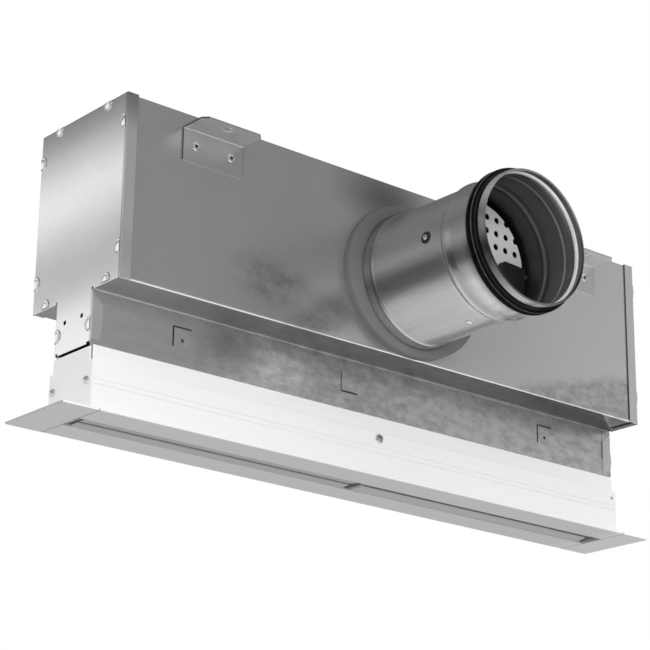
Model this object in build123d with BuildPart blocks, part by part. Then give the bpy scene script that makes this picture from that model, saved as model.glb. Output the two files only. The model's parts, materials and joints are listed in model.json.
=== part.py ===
from build123d import *
import os
from math import cos, radians, sin, sqrt

# Ceiling slot grille with its plenum box.
# The origin is on the underside of the flange, in the middle of the slot.
# X runs along the slot, the duct spigot points to -Y, and +Z goes up into the ceiling.
os.makedirs("parts", exist_ok=True)

# Plenum box, folded from galvanised sheet
box_length = 630.0
box_depth = 130.0
box_top = 276.5
ledge_height = 109.4
neck_depth = 54.0
neck_bottom = 61.5
sheet = 0.8
bend_radius = 1.4
top_lap = 20.0
end_fold = 12.0
end_corner_radius = 1.4

# Clinch marks, holes and relief cuts of the end plates
clinch_radius = 5.4
clinch_rise = 0.5
clinch_margin = 1.2
clinch_top_y = 37.0
clinch_ledge_y = 45.3
clinch_upper_z = 250.0
clinch_lower_z = 137.0
clinch_neck_z = 79.0
neck_hole_radius = 2.1
neck_hole_y = 12.7
neck_hole_z = 88.8
flap_bottom = 66.0
flap_top = 106.6
flap_slant = 10.5
flap_taper_run = 3.0
flap_taper_rise = 14.0
ledge_fold_chamfer = 4.0
neck_notch_width = 5.5
neck_notch_height = 2.0
ledge_fold_root = 3.0
relief_radius = 1.6

# Knock-out tabs in the neck walls, cut along one side and perforated along one edge
tab_width = 19.5
tab_bottom = 78.0
tab_height = 18.0
tab_cut = 0.8
tab_dash = 2.8
tab_dash_pitch = 4.6
tab_dashes = 4
tab_hole_radius = 1.8
tab_hole_rise = 6.5
tab_side_x = 220.5
tab_middle_x = -32.0

# Spigot for a round duct
duct_radius = 62.5
spigot_play = 0.2
spigot_x = 7.7
spigot_z = 182.0
spigot_wall = 0.8
spigot_reach = 161.5
root_radius = 64.0
root_length = 19.5
root_flange = 7.0
shoulder_run = 1.5
wall_hole_play = 0.2
bead_setback = 50.0
bead_height = 1.7
bead_length = 5.0
groove_setback = 19.0
groove_depth = 1.6
groove_length = 13.5
nose_step = 0.5
rim_turn = 4.2
rim_bevel = 1.2

# Soft collar round the root of the spigot
collar_half_width = 80.5
collar_half_height = 72.4
collar_thickness = 8.0
collar_play = 0.3

# Rubber gasket with two lips
lip_radius = 66.2
lip_tip = 0.8
lip_lean = 1.2
lip_pitch = 6.0
lip_root = 1.0
gasket_nose = 2.5
gasket_play = 0.1

# Perforated damper in the spigot
damper_radius = 56.0
damper_sheet = 1.0
damper_distance = 89.5
damper_roll = -3.5
damper_hole_radius = 3.0
damper_pitch_x = 12.0
damper_pitch_z = 13.0
damper_hole_shift = -2.0
damper_first_row = 18.3
damper_rows = 3
damper_border = 0.6
shaft_radius = 2.5
shaft_grip = 20.0
bush_play = 0.05
bush_wall = 1.3
bush_flange_radius = 5.6
bush_flange = 1.2
bush_inside = 2.5
bush_hole_play = 0.1
shaft_head = 1.0
block_left = 24.5
block_width = 26.0
block_bottom = -31.0
block_height = 34.0
block_depth = 10.0
block_chamfer = 3.0
stop_rivet_angle = -98.0
stop_rivet_radius = 1.6
stop_rivet_head = 3.2
stop_rivet_head_height = 1.0
stop_rivet_bite = 2.0
stop_rivet_gap = 0.3

# Hanging brackets and their blind rivets
hanger_x = 223.0
hanger_width = 65.0
hanger_leg = 31.2
hanger_sheet = 1.5
hanger_drop = 14.5
hanger_hole_radius = 4.25
hanger_hole_reach = 21.8
hanger_chamfer = 5.0
rivet_x = 19.0
rivet_drop = 15.5
rivet_radius = 2.1
rivet_head = 4.0
rivet_head_height = 1.3
rivet_blind_length = 3.5

# Extruded grille frame
slot_length = 625.2
slot_width = 26.3
flange_length = 697.0
flange_depth = 86.0
flange_thickness = 2.0
flange_edge_round = 0.6
frame_half_depth = 31.2
frame_wall = 1.8
frame_step_z = 46.0
frame_step = 1.6
frame_upper_half_depth = 26.5
frame_stop_gap = 0.3
frame_end_gap = 2.8
tongue_play = 0.4
tongue_wall = 1.4
tongue_rise = 30.0
channel_half_width = 18.0
channel_wall = 1.4
channel_top = 34.0
groove_lower_z = 26.0
groove_upper_z = 30.5
face_groove = 0.8
port_y = 25.0
port_z = 30.0
port_wall = 1.9
port_web = 1.4
frame_hole_inset = 2.6
frame_hole_z = 38.4
frame_hole_radius = 1.6
end_plate = 2.4

# Screws of the frame
end_screw_radius = 1.5
end_screw_length = 14.0
end_screw_head = 3.2
end_screw_head_height = 1.9
centre_screw_z = 39.4
centre_screw_radius = 1.7
centre_screw_length = 12.0
centre_screw_head = 4.4
centre_screw_head_height = 2.0

# Bridge and leaf carriers across the slot
bridge_width = 12.0
bridge_height = 6.4
carrier_thickness = 4.0
carrier_play = 0.1
carrier_top = 24.0
carrier_lip_play = 0.45
carrier_underside = 0.6
centre_carrier_x = 0.5

# Deflector leaves and their pins
leaf_width = 11.4
leaf_thickness = 1.2
leaf_underside = 0.3
leaf_lip_gap = 0.4
leaf_end_gap = 8.0
left_leaf_inner_gap = 6.5
right_leaf_inner_gap = 1.5
pivot_y = 15.2
pivot_z = 4.6
pivot_tube_radius = 2.0
pin_radius = 1.0
pin_bite = 12.0
pin_seat = 1.7
pin_play = 0.05
left_front_tilt = 5.0
left_rear_tilt = 2.0
right_front_tilt = 14.0
right_rear_tilt = 10.0

# Planes and places that several pieces share
end_inner_x = box_length / 2 - sheet
face_y = box_depth / 2 - sheet
neck_face_y = neck_depth / 2 - sheet
neck_inner_y = neck_face_y - sheet
shell_top = box_top - sheet
hanger_top = box_top - hanger_drop
pipe_radius = duct_radius - spigot_play
bead_start = spigot_reach - bead_setback
groove_start = spigot_reach - groove_setback
blade_front = damper_distance + damper_sheet / 2
blade_back = damper_distance - damper_sheet / 2
roll_cos = cos(radians(damper_roll))
roll_sin = sin(radians(damper_roll))
tongue_y = neck_inner_y - tongue_play
frame_upper_top = neck_bottom - frame_stop_gap
tongue_top = neck_bottom + tongue_rise
profile_end = slot_length / 2
lip_y = slot_width / 2
spigot_axis = Axis((spigot_x, -face_y, spigot_z), (0, -1, 0))
spigot_plane = Plane(origin=(spigot_x, -face_y, spigot_z), x_dir=(1, 0, 0), z_dir=(0, 0, -1))


def wall_plane(y):
    """Upright plane along the box whose local axes are X and Z, facing the front."""
    return Plane(origin=(0, y, 0), x_dir=(1, 0, 0), z_dir=(0, -1, 0))


def damper_plane(distance):
    """Plane across the spigot whose local X runs along the damper shaft, facing the mouth."""
    centre = (spigot_x, -face_y - distance, spigot_z)
    return Plane(origin=centre, x_dir=(roll_cos, 0, roll_sin), z_dir=(0, -1, 0))


def shaft_plane(end, reach):
    """Plane across the damper shaft at a distance from the spigot's axis, facing outwards."""
    centre = (
        spigot_x + end * reach * roll_cos,
        -face_y - damper_distance,
        spigot_z + end * reach * roll_sin,
    )
    return Plane(origin=centre, x_dir=(0, 1, 0), z_dir=(end * roll_cos, 0, end * roll_sin))


def outward_plane(x, y, z, side):
    """Plane on a long wall that faces away from the box; side -1 is the front."""
    return Plane(origin=(x, y, z), x_dir=(1, 0, 0), z_dir=(0, side, 0))


def band(y_from, y_to, z_from, z_to, mode=Mode.ADD):
    """Filled rectangle between two depths and two heights."""
    with Locations(((y_from + y_to) / 2, (z_from + z_to) / 2)):
        Rectangle(abs(y_to - y_from), abs(z_to - z_from), mode=mode)


def save(piece, name):
    """Label a finished piece and write it as its own file."""
    piece.part.label = name
    export_step(piece.part, f"parts/{name}.step")


def long_shell(side):
    """Front or rear shell: top lap, tall wall, ledge and neck wall in one folded sheet."""
    wall_mid = side * (face_y - sheet / 2)
    neck_mid = side * (neck_face_y - sheet / 2)
    lap_y = side * (face_y - top_lap)
    with BuildPart() as shell:
        with BuildSketch(Plane.YZ.offset(-end_inner_x)):
            with BuildLine():
                FilletPolyline(
                    (lap_y, shell_top - sheet / 2),
                    (wall_mid, shell_top - sheet / 2),
                    (wall_mid, ledge_height + sheet / 2),
                    (neck_mid, ledge_height + sheet / 2),
                    (neck_mid, neck_bottom),
                    radius=bend_radius,
                )
            trace(line_width=sheet)
        extrude(amount=2 * end_inner_x)
        # Tabs: a cut up the left side, dashes along the top or the bottom edge
        with BuildSketch(wall_plane(neck_mid)):
            for x in (-tab_side_x, tab_middle_x, tab_side_x):
                dash_z = tab_bottom if x == tab_middle_x else tab_bottom + tab_height
                with Locations((x - tab_width / 2, tab_bottom + tab_height / 2)):
                    Rectangle(tab_cut, tab_height - tab_dash)
                with Locations((x, dash_z)):
                    with GridLocations(tab_dash_pitch, 0, tab_dashes, 1):
                        Rectangle(tab_dash, tab_cut)
            with Locations(
                (-tab_side_x, tab_bottom + tab_hole_rise),
                (tab_side_x, tab_bottom + tab_hole_rise),
            ):
                Circle(tab_hole_radius)
        extrude(amount=sheet, both=True, mode=Mode.SUBTRACT)
        # Rivet holes of the hanging brackets
        with BuildSketch(wall_plane(wall_mid)):
            with Locations(*rivet_places()):
                Circle(rivet_radius)
        extrude(amount=sheet, both=True, mode=Mode.SUBTRACT)
    return shell


def rivet_places():
    """Places of the four rivets on one long wall."""
    height = hanger_top - rivet_drop
    return [(end * hanger_x + x, height) for end in (-1, 1) for x in (-rivet_x, rivet_x)]


with BuildPart() as front_shell:
    add(long_shell(-1).part)
    with BuildSketch(wall_plane(-face_y + sheet / 2)):
        with Locations((spigot_x, spigot_z)):
            Circle(root_radius + wall_hole_play)
    extrude(amount=sheet, both=True, mode=Mode.SUBTRACT)
save(front_shell, "front_shell")

rear_shell = long_shell(1)
save(rear_shell, "rear_shell")

with BuildPart() as top_panel:
    with BuildSketch(Plane.XY.offset(shell_top - 2 * sheet)):
        Rectangle(2 * end_inner_x, 2 * (face_y - sheet - bend_radius))
    extrude(amount=sheet)
save(top_panel, "top_panel")


def clinch_places():
    """Places of the ten half-round clinch marks along the edge of an end plate."""
    side_y = box_depth / 2 - clinch_margin
    neck_y = neck_depth / 2 - clinch_margin
    right = [
        (clinch_top_y, box_top - clinch_margin),
        (side_y, clinch_upper_z),
        (side_y, clinch_lower_z),
        (clinch_ledge_y, ledge_height + clinch_margin),
        (neck_y, clinch_neck_z),
    ]
    return right + [(-y, z) for y, z in right]


def end_pan(end):
    """End plate with its folds over the long walls and the top; end -1 is the left one."""
    outer_x = end * box_length / 2
    inner_x = outer_x - end * end_fold
    outer_plane = Plane(origin=(outer_x, 0, 0), x_dir=(0, 1, 0), z_dir=(1, 0, 0))
    fold_end = sorted((outer_x - end * sheet, inner_x))
    with BuildPart() as pan:
        # T shape of the box above the ledge and the neck below it
        with BuildSketch(outer_plane):
            band(-box_depth / 2, box_depth / 2, ledge_height - sheet, box_top)
            band(-neck_depth / 2, neck_depth / 2, neck_bottom, ledge_height)
        extrude(amount=-end * end_fold)
        rim = pan.faces().filter_by_position(Axis.X, outer_x - sheet / 2, outer_x + sheet / 2)[0].edges()
        upright = rim.filter_by(Axis.Z).group_by(Axis.Y)
        fillet(upright[1] + upright[-2], end_corner_radius)
        rim = pan.faces().filter_by_position(Axis.X, outer_x - sheet / 2, outer_x + sheet / 2)[0].edges()
        upright = rim.filter_by(Axis.Z).group_by(Axis.Y)
        top_edge = rim.filter_by(Axis.Y).sort_by(Axis.Z)[-1:]
        fillet(upright[0] + upright[-1] + top_edge, end_corner_radius)
        # What is left between the folds is open to the box and the neck
        with BuildSketch(outer_plane.offset(-end * sheet)):
            band(sheet - box_depth / 2, box_depth / 2 - sheet, ledge_height, box_top - sheet)
            band(sheet - neck_depth / 2, neck_depth / 2 - sheet, neck_bottom, ledge_height)
        extrude(amount=-end * end_fold, mode=Mode.SUBTRACT)
        # The neck folds are short flaps with cut corners
        with BuildSketch(wall_plane(-box_depth / 2)):
            fold_mid = sum(fold_end) / 2
            fold_width = fold_end[1] - fold_end[0]
            with Locations((fold_mid, (flap_top + ledge_height) / 2)):
                Rectangle(fold_width, ledge_height - flap_top)
            with Locations((fold_mid, (neck_bottom + flap_bottom) / 2)):
                Rectangle(fold_width, flap_bottom - neck_bottom)
            with BuildLine():
                Polyline(
                    (inner_x, flap_top),
                    (inner_x, flap_top - flap_slant),
                    (outer_x - end * sheet, flap_top),
                    close=True,
                )
            make_face()
            with BuildLine():
                Polyline(
                    (inner_x, flap_bottom),
                    (inner_x, flap_bottom + flap_taper_rise),
                    (inner_x + end * flap_taper_run, flap_bottom),
                    close=True,
                )
            make_face()
        extrude(amount=-box_depth, mode=Mode.SUBTRACT)
        # The folds under the ledge are cut slantwise towards the neck
        with BuildSketch(Plane.XY.offset(ledge_height)):
            for side in (-1, 1):
                with BuildLine():
                    Polyline(
                        (inner_x, side * neck_depth / 2),
                        (outer_x - end * ledge_fold_root, side * neck_depth / 2),
                        (inner_x, side * (box_depth / 2 - ledge_fold_chamfer)),
                        close=True,
                    )
                make_face()
        extrude(amount=-2 * sheet, mode=Mode.SUBTRACT)
        # Holes in the neck, reliefs in the inner corners and notches in the lower corners
        with BuildSketch(outer_plane):
            for side in (-1, 1):
                neck_side = side * neck_depth / 2
                notch_side = neck_side - side * neck_notch_width
                band(neck_side, notch_side, neck_bottom, neck_bottom + neck_notch_height)
            with Locations((-neck_hole_y, neck_hole_z), (neck_hole_y, neck_hole_z)):
                Circle(neck_hole_radius)
            with Locations((-neck_depth / 2, ledge_height), (neck_depth / 2, ledge_height)):
                Circle(relief_radius)
        extrude(amount=end_fold, both=True, mode=Mode.SUBTRACT)
        # Clinch marks stand proud of the plate, flat towards its edge
        with BuildSketch(outer_plane):
            with Locations(*clinch_places()):
                Circle(clinch_radius)
            edge = clinch_margin + clinch_radius
            band(-box_depth, box_depth, box_top - clinch_margin, box_top + edge, Mode.SUBTRACT)
            for side in (-1, 1):
                box_side = side * (box_depth / 2 - clinch_margin)
                neck_side = side * (neck_depth / 2 - clinch_margin)
                ledge = ledge_height + clinch_margin
                band(box_side, box_side + side * edge, ledge_height, box_top, Mode.SUBTRACT)
                band(neck_side + side * edge, box_side, ledge - edge, ledge, Mode.SUBTRACT)
                band(neck_side, neck_side + side * edge, neck_bottom, ledge - edge, Mode.SUBTRACT)
        extrude(amount=end * clinch_rise)
    return pan


left_end_plate = end_pan(-1)
save(left_end_plate, "left_end_plate")
right_end_plate = end_pan(1)
save(right_end_plate, "right_end_plate")

with BuildPart() as spigot_pipe:
    with BuildSketch(spigot_plane):
        with BuildLine():
            nose_radius = pipe_radius - nose_step
            groove_radius = pipe_radius - groove_depth
            bead_end = bead_start + bead_length
            groove_end = groove_start + groove_length
            Polyline(
                (root_radius + root_flange, -sheet),
                (root_radius, -sheet),
                (root_radius, root_length),
                (pipe_radius, root_length + shoulder_run),
                (pipe_radius, bead_start),
                (pipe_radius + bead_height, bead_start + bead_height),
                (pipe_radius + bead_height, bead_end - bead_height),
                (pipe_radius, bead_end),
                (pipe_radius, groove_start),
                (groove_radius, groove_start + groove_depth),
                (groove_radius, groove_end - groove_depth),
                (nose_radius, groove_end),
                (nose_radius, spigot_reach - rim_bevel),
                (nose_radius - rim_bevel, spigot_reach),
                (nose_radius - rim_turn, spigot_reach),
            )
            offset(amount=spigot_wall, side=Side.LEFT, kind=Kind.INTERSECTION, closed=True)
        make_face()
    revolve(axis=spigot_axis)
    # Holes for the bushes of the damper shaft, and for its stop rivet
    with BuildSketch(shaft_plane(1, 0)):
        Circle(shaft_radius + bush_play + bush_wall + bush_hole_play)
    extrude(amount=duct_radius, both=True, mode=Mode.SUBTRACT)
    stop_out = blade_back - stop_rivet_gap - stop_rivet_radius
    stop_direction = (cos(radians(stop_rivet_angle)), 0, sin(radians(stop_rivet_angle)))
    stop_plane = Plane(
        origin=(
            spigot_x + pipe_radius * stop_direction[0],
            -face_y - stop_out,
            spigot_z + pipe_radius * stop_direction[2],
        ),
        x_dir=(0, 1, 0),
        z_dir=stop_direction,
    )
    with BuildSketch(stop_plane):
        Circle(stop_rivet_radius)
    extrude(amount=2 * spigot_wall, both=True, mode=Mode.SUBTRACT)
save(spigot_pipe, "spigot_pipe")

with BuildPart() as spigot_collar:
    with BuildSketch(wall_plane(-face_y)):
        with Locations((spigot_x, spigot_z)):
            Ellipse(collar_half_width, collar_half_height)
            Circle(root_radius + collar_play, mode=Mode.SUBTRACT)
    extrude(amount=collar_thickness)
save(spigot_collar, "spigot_collar")

with BuildPart() as lip_gasket:
    seat = pipe_radius - groove_depth + gasket_play
    inner = groove_start + groove_depth
    outer = groove_end - groove_depth
    root = pipe_radius + lip_root
    second = inner + lip_pitch
    with BuildSketch(spigot_plane):
        with BuildLine():
            Polyline(
                (seat, inner),
                (seat, outer),
                (root, outer - gasket_nose),
                (lip_radius, second - lip_lean + lip_tip),
                (lip_radius, second - lip_lean),
                (root, second - lip_tip),
                (root, inner + lip_lean + lip_tip),
                (lip_radius, inner - lip_lean + lip_tip),
                (lip_radius, inner - lip_lean),
                (root, inner),
                close=True,
            )
        make_face()
    revolve(axis=spigot_axis)
save(lip_gasket, "lip_gasket")

with BuildPart() as damper_blade:
    with BuildSketch(damper_plane(blade_back)):
        Circle(damper_radius)
        # Whole and cut holes give the edge of a disc stamped from perforated sheet.
        # Each hole is an octagon, which keeps the long row of repeats light.
        columns = 2 * int(damper_radius / damper_pitch_x)
        for column in range(columns + 1):
            x = (column - columns / 2) * damper_pitch_x + damper_hole_shift
            for row in range(damper_rows):
                z = damper_first_row + row * damper_pitch_z
                reach = sqrt(x * x + z * z)
                whole = reach < damper_radius - damper_hole_radius - damper_border
                scallop = abs(reach - damper_radius) < damper_hole_radius - damper_border
                if whole or scallop:
                    with Locations((x, z), (x, -z)):
                        RegularPolygon(damper_hole_radius, 8, mode=Mode.SUBTRACT)
    extrude(amount=damper_sheet)
save(damper_blade, "damper_blade")

with BuildPart() as damper_shaft:
    # Two stub shafts whose slotted inner ends grip the edge of the disc
    shaft_half = pipe_radius + bush_flange + shaft_head
    for end in (-1, 1):
        with BuildSketch(shaft_plane(end, damper_radius - shaft_grip)):
            Circle(shaft_radius)
        extrude(amount=shaft_half - damper_radius + shaft_grip)
    chamfer(damper_shaft.edges().filter_by(GeomType.CIRCLE), shaft_head)
    with BuildSketch(damper_plane(blade_back)):
        Circle(damper_radius)
    extrude(amount=damper_sheet, mode=Mode.SUBTRACT)
save(damper_shaft, "damper_shaft")

with BuildPart() as damper_bushes:
    for end in (-1, 1):
        with BuildSketch(shaft_plane(end, pipe_radius)):
            Circle(bush_flange_radius)
        extrude(amount=bush_flange)
        with BuildSketch(shaft_plane(end, pipe_radius)):
            Circle(shaft_radius + bush_play + bush_wall)
        extrude(amount=-bush_inside)
        with BuildSketch(shaft_plane(end, pipe_radius)):
            Circle(shaft_radius + bush_play)
        extrude(amount=bush_inside, both=True, mode=Mode.SUBTRACT)
save(damper_bushes, "damper_bushes")

with BuildPart() as damper_block:
    with BuildSketch(damper_plane(blade_front)):
        with Locations((block_left + block_width / 2, block_bottom + block_height / 2)):
            Rectangle(block_width, block_height)
    extrude(amount=block_depth)
    chamfer(damper_block.faces().sort_by(Axis.Y)[0].edges(), block_chamfer)
    # Room for the stub shaft behind the block
    with BuildSketch(shaft_plane(1, 0)):
        Circle(shaft_radius)
    extrude(amount=duct_radius, mode=Mode.SUBTRACT)
save(damper_block, "damper_block")

with BuildPart() as stop_rivet:
    with BuildSketch(stop_plane):
        Circle(stop_rivet_head)
    extrude(amount=stop_rivet_head_height)
    stop_reach = pipe_radius - damper_radius + stop_rivet_bite
    with BuildSketch(stop_plane):
        Circle(stop_rivet_radius)
    extrude(amount=-stop_reach)
save(stop_rivet, "damper_stop_rivet")


def hanger(end, side):
    """Angle bracket riveted on a long wall, with its free leg pointing out at the top."""
    centre_x = end * hanger_x
    wall = side * face_y
    with BuildPart() as bracket:
        with BuildSketch(Plane.YZ.offset(centre_x - hanger_width / 2)):
            with BuildLine():
                FilletPolyline(
                    (wall + side * hanger_sheet / 2, hanger_top - hanger_leg),
                    (wall + side * hanger_sheet / 2, hanger_top - hanger_sheet / 2),
                    (wall + side * hanger_leg, hanger_top - hanger_sheet / 2),
                    radius=hanger_sheet,
                )
            trace(line_width=hanger_sheet)
        extrude(amount=hanger_width)
        outer_edges = bracket.edges().filter_by(Axis.Z).group_by(Axis.Y)
        chamfer(outer_edges[0] if side < 0 else outer_edges[-1], hanger_chamfer)
        with BuildSketch(Plane.XY.offset(hanger_top)):
            with Locations((centre_x, wall + side * hanger_hole_reach)):
                Circle(hanger_hole_radius)
        extrude(amount=-2 * hanger_sheet, mode=Mode.SUBTRACT)
        with BuildSketch(wall_plane(wall)):
            with Locations(
                (centre_x - rivet_x, hanger_top - rivet_drop),
                (centre_x + rivet_x, hanger_top - rivet_drop),
            ):
                Circle(rivet_radius)
        extrude(amount=2 * hanger_sheet, both=True, mode=Mode.SUBTRACT)
    return bracket


for side, side_name in ((-1, "front"), (1, "rear")):
    for end, end_name in ((-1, "left"), (1, "right")):
        save(hanger(end, side), f"{side_name}_{end_name}_hanger")

with BuildPart() as hanger_rivets:
    for side in (-1, 1):
        for x, z in rivet_places():
            face = side * (face_y + hanger_sheet)
            with BuildSketch(outward_plane(x, face, z, side)):
                Circle(rivet_head)
            extrude(amount=rivet_head_height)
            with BuildSketch(outward_plane(x, face, z, side)):
                Circle(rivet_radius)
            extrude(amount=-hanger_sheet - sheet - rivet_blind_length)
save(hanger_rivets, "hanger_rivets")


def frame_profile(side):
    """Extruded half of the frame: flange, outer wall, air channel wall and tongue."""
    outer = side * frame_half_depth
    upper = side * frame_upper_half_depth
    tongue_inner = side * (tongue_y - tongue_wall)
    channel = side * channel_half_width
    with BuildPart() as profile:
        with BuildSketch(Plane.YZ.offset(-profile_end)):
            band(side * flange_depth / 2, side * lip_y, 0, flange_thickness)
            band(outer, outer - side * frame_wall, 0, frame_step_z)
            band(outer, tongue_inner, frame_step_z - frame_step, frame_step_z)
            band(upper, tongue_inner, frame_step_z - frame_step, frame_upper_top)
            band(side * tongue_y, tongue_inner, frame_step_z, tongue_top)
            band(channel + side * channel_wall, channel, 0, channel_top)
            # Web with the round port for the end screws
            band(outer, channel, port_z - port_web / 2, port_z + port_web / 2)
            with Locations((side * port_y, port_z)):
                Circle(end_screw_radius + port_wall)
                Circle(end_screw_radius, mode=Mode.SUBTRACT)
            # Fine decorative grooves along the outer wall
            with Locations((outer, groove_lower_z), (outer, groove_upper_z), (outer, frame_step_z)):
                Rectangle(face_groove, face_groove, rotation=45, mode=Mode.SUBTRACT)
        extrude(amount=2 * profile_end)
        edge = profile.edges().filter_by(Axis.X).group_by(Axis.Y)
        fillet(edge[0] if side < 0 else edge[-1], flange_edge_round)
        # Screw hole at mid-length and a small hole near the right end of its own side
        with BuildSketch(wall_plane(outer)):
            with Locations((0, centre_screw_z)):
                Circle(centre_screw_radius)
            with Locations((-side * (profile_end - frame_hole_inset), frame_hole_z)):
                Circle(frame_hole_radius)
        extrude(amount=frame_wall, both=True, mode=Mode.SUBTRACT)
    return profile


save(frame_profile(-1), "front_profile")
save(frame_profile(1), "rear_profile")


def frame_end(end):
    """Cast end piece: its part of the flange and an upright plate that closes the frame."""
    plate_x = end * profile_end
    with BuildPart() as piece:
        with BuildSketch(Plane.XY):
            flange_run = flange_length / 2 - profile_end
            with Locations((end * (profile_end + flange_run / 2), 0)):
                Rectangle(flange_run, flange_depth)
        extrude(amount=flange_thickness)
        rim = piece.edges().filter_by(Axis.Z).group_by(Axis.X)
        sides = piece.edges().filter_by(Axis.Y).group_by(Axis.X)
        fillet(sides[-1] if end > 0 else sides[0], flange_edge_round)
        with BuildSketch(Plane(origin=(plate_x, 0, 0), x_dir=(0, 1, 0), z_dir=(1, 0, 0))):
            band(-frame_half_depth, frame_half_depth, 0, frame_step_z)
            end_top = neck_bottom - frame_end_gap
            band(-frame_upper_half_depth, frame_upper_half_depth, 0, end_top)
            with Locations((-port_y, port_z), (port_y, port_z)):
                Circle(end_screw_radius, mode=Mode.SUBTRACT)
        extrude(amount=end * end_plate)
    return piece


save(frame_end(-1), "left_frame_end")
save(frame_end(1), "right_frame_end")


def screw(plane, radius, length, head, head_height):
    """Plain screw whose head sits on a plane and whose shank goes down behind it."""
    with BuildPart() as fastener:
        with BuildSketch(plane):
            Circle(head)
        extrude(amount=head_height)
        with BuildSketch(plane):
            Circle(radius)
        extrude(amount=-length)
    return fastener


with BuildPart() as end_screws:
    for end in (-1, 1):
        for y in (-port_y, port_y):
            seat_x = end * (profile_end + end_plate)
            seat_plane = Plane(origin=(seat_x, y, port_z), x_dir=(0, 1, 0), z_dir=(end, 0, 0))
            end_screw = screw(
                seat_plane,
                end_screw_radius,
                end_screw_length,
                end_screw_head,
                end_screw_head_height,
            )
            add(end_screw.part)
save(end_screws, "end_screws")

with BuildPart() as centre_bridge:
    with BuildSketch(Plane.XY.offset(centre_screw_z - bridge_height / 2)):
        Rectangle(bridge_width, 2 * (frame_half_depth - frame_wall))
    extrude(amount=bridge_height)
    with BuildSketch(Plane(origin=(0, 0, centre_screw_z), x_dir=(1, 0, 0), z_dir=(0, 1, 0))):
        Circle(centre_screw_radius)
    extrude(amount=frame_half_depth, both=True, mode=Mode.SUBTRACT)
save(centre_bridge, "centre_bridge")

with BuildPart() as centre_screws:
    for side in (-1, 1):
        centre_screw = screw(
            outward_plane(0, side * frame_half_depth, centre_screw_z, side),
            centre_screw_radius,
            centre_screw_length,
            centre_screw_head,
            centre_screw_head_height,
        )
        add(centre_screw.part)
save(centre_screws, "centre_screws")


def carrier(x_low, top):
    """Plastic plate across the air channel with the holes that the leaf pins turn in."""
    with BuildPart() as plate:
        with BuildSketch(Plane.YZ.offset(x_low)):
            reach = channel_half_width - carrier_play
            band(-reach, reach, flange_thickness, top)
            foot = lip_y - carrier_lip_play
            band(-foot, foot, carrier_underside, flange_thickness)
            with Locations((-pivot_y, pivot_z), (pivot_y, pivot_z)):
                Circle(pin_radius + pin_play, mode=Mode.SUBTRACT)
        extrude(amount=carrier_thickness)
    return plate


centre_low = centre_carrier_x - carrier_thickness / 2
centre_high = centre_carrier_x + carrier_thickness / 2
save(carrier(-profile_end, carrier_top), "left_carrier")
save(carrier(centre_low, centre_screw_z - bridge_height / 2), "centre_carrier")
save(carrier(profile_end - carrier_thickness, carrier_top), "right_carrier")


def leaf_plane(x, side, tilt):
    """Plane at a leaf's pivot: local X to the middle of the slot, raised by the tilt."""
    turn = radians(tilt)
    return Plane(
        origin=(x, side * pivot_y, pivot_z),
        x_dir=(0, -side * cos(turn), sin(turn)),
        z_dir=(-side, 0, 0),
    )


def leaf(x_low, x_high, side, tilt):
    """Extruded deflector leaf: pivot tube, cranked arm and the flat blade."""
    lip = pivot_y - lip_y + leaf_lip_gap
    low = leaf_underside - pivot_z
    tip = lip + leaf_width
    with BuildPart() as piece:
        start = x_low if side < 0 else x_high
        with BuildSketch(leaf_plane(start, side, tilt)):
            Circle(pivot_tube_radius)
            band(0, lip + leaf_thickness, -leaf_thickness / 2, leaf_thickness / 2)
            band(lip, lip + leaf_thickness, low, leaf_thickness / 2)
            band(lip, tip, low, low + leaf_thickness)
            Circle(pin_radius, mode=Mode.SUBTRACT)
        extrude(amount=x_high - x_low)
    return piece


def leaf_pins(pin_runs, side):
    """Steel pins of one leaf, one from each end."""
    with BuildPart() as pins:
        for x_low, x_high in pin_runs:
            with BuildSketch(Plane.YZ.offset(x_low)):
                with Locations((side * pivot_y, pivot_z)):
                    Circle(pin_radius)
            extrude(amount=x_high - x_low)
    return pins


carrier_face = profile_end - carrier_thickness
left_run = (-(profile_end - leaf_end_gap), centre_low - left_leaf_inner_gap)
right_run = (centre_high + right_leaf_inner_gap, profile_end - leaf_end_gap)
left_pins = (
    (-carrier_face - 2 * pin_seat, left_run[0] + pin_bite),
    (left_run[1] - pin_bite, centre_low + pin_seat),
)
right_pins = (
    (centre_high - pin_seat, right_run[0] + pin_bite),
    (right_run[1] - pin_bite, carrier_face + 2 * pin_seat),
)
leaves = (
    ("left_front", left_run, left_pins, -1, left_front_tilt),
    ("left_rear", left_run, left_pins, 1, left_rear_tilt),
    ("right_front", right_run, right_pins, -1, right_front_tilt),
    ("right_rear", right_run, right_pins, 1, right_rear_tilt),
)
for name, run, pin_runs, side, tilt in leaves:
    save(leaf(run[0], run[1], side, tilt), f"{name}_leaf")
    save(leaf_pins(pin_runs, side), f"{name}_pins")
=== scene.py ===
import json
from math import cos, pi, radians, sin

import bpy
from mathutils import Euler, Matrix, Vector


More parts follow.
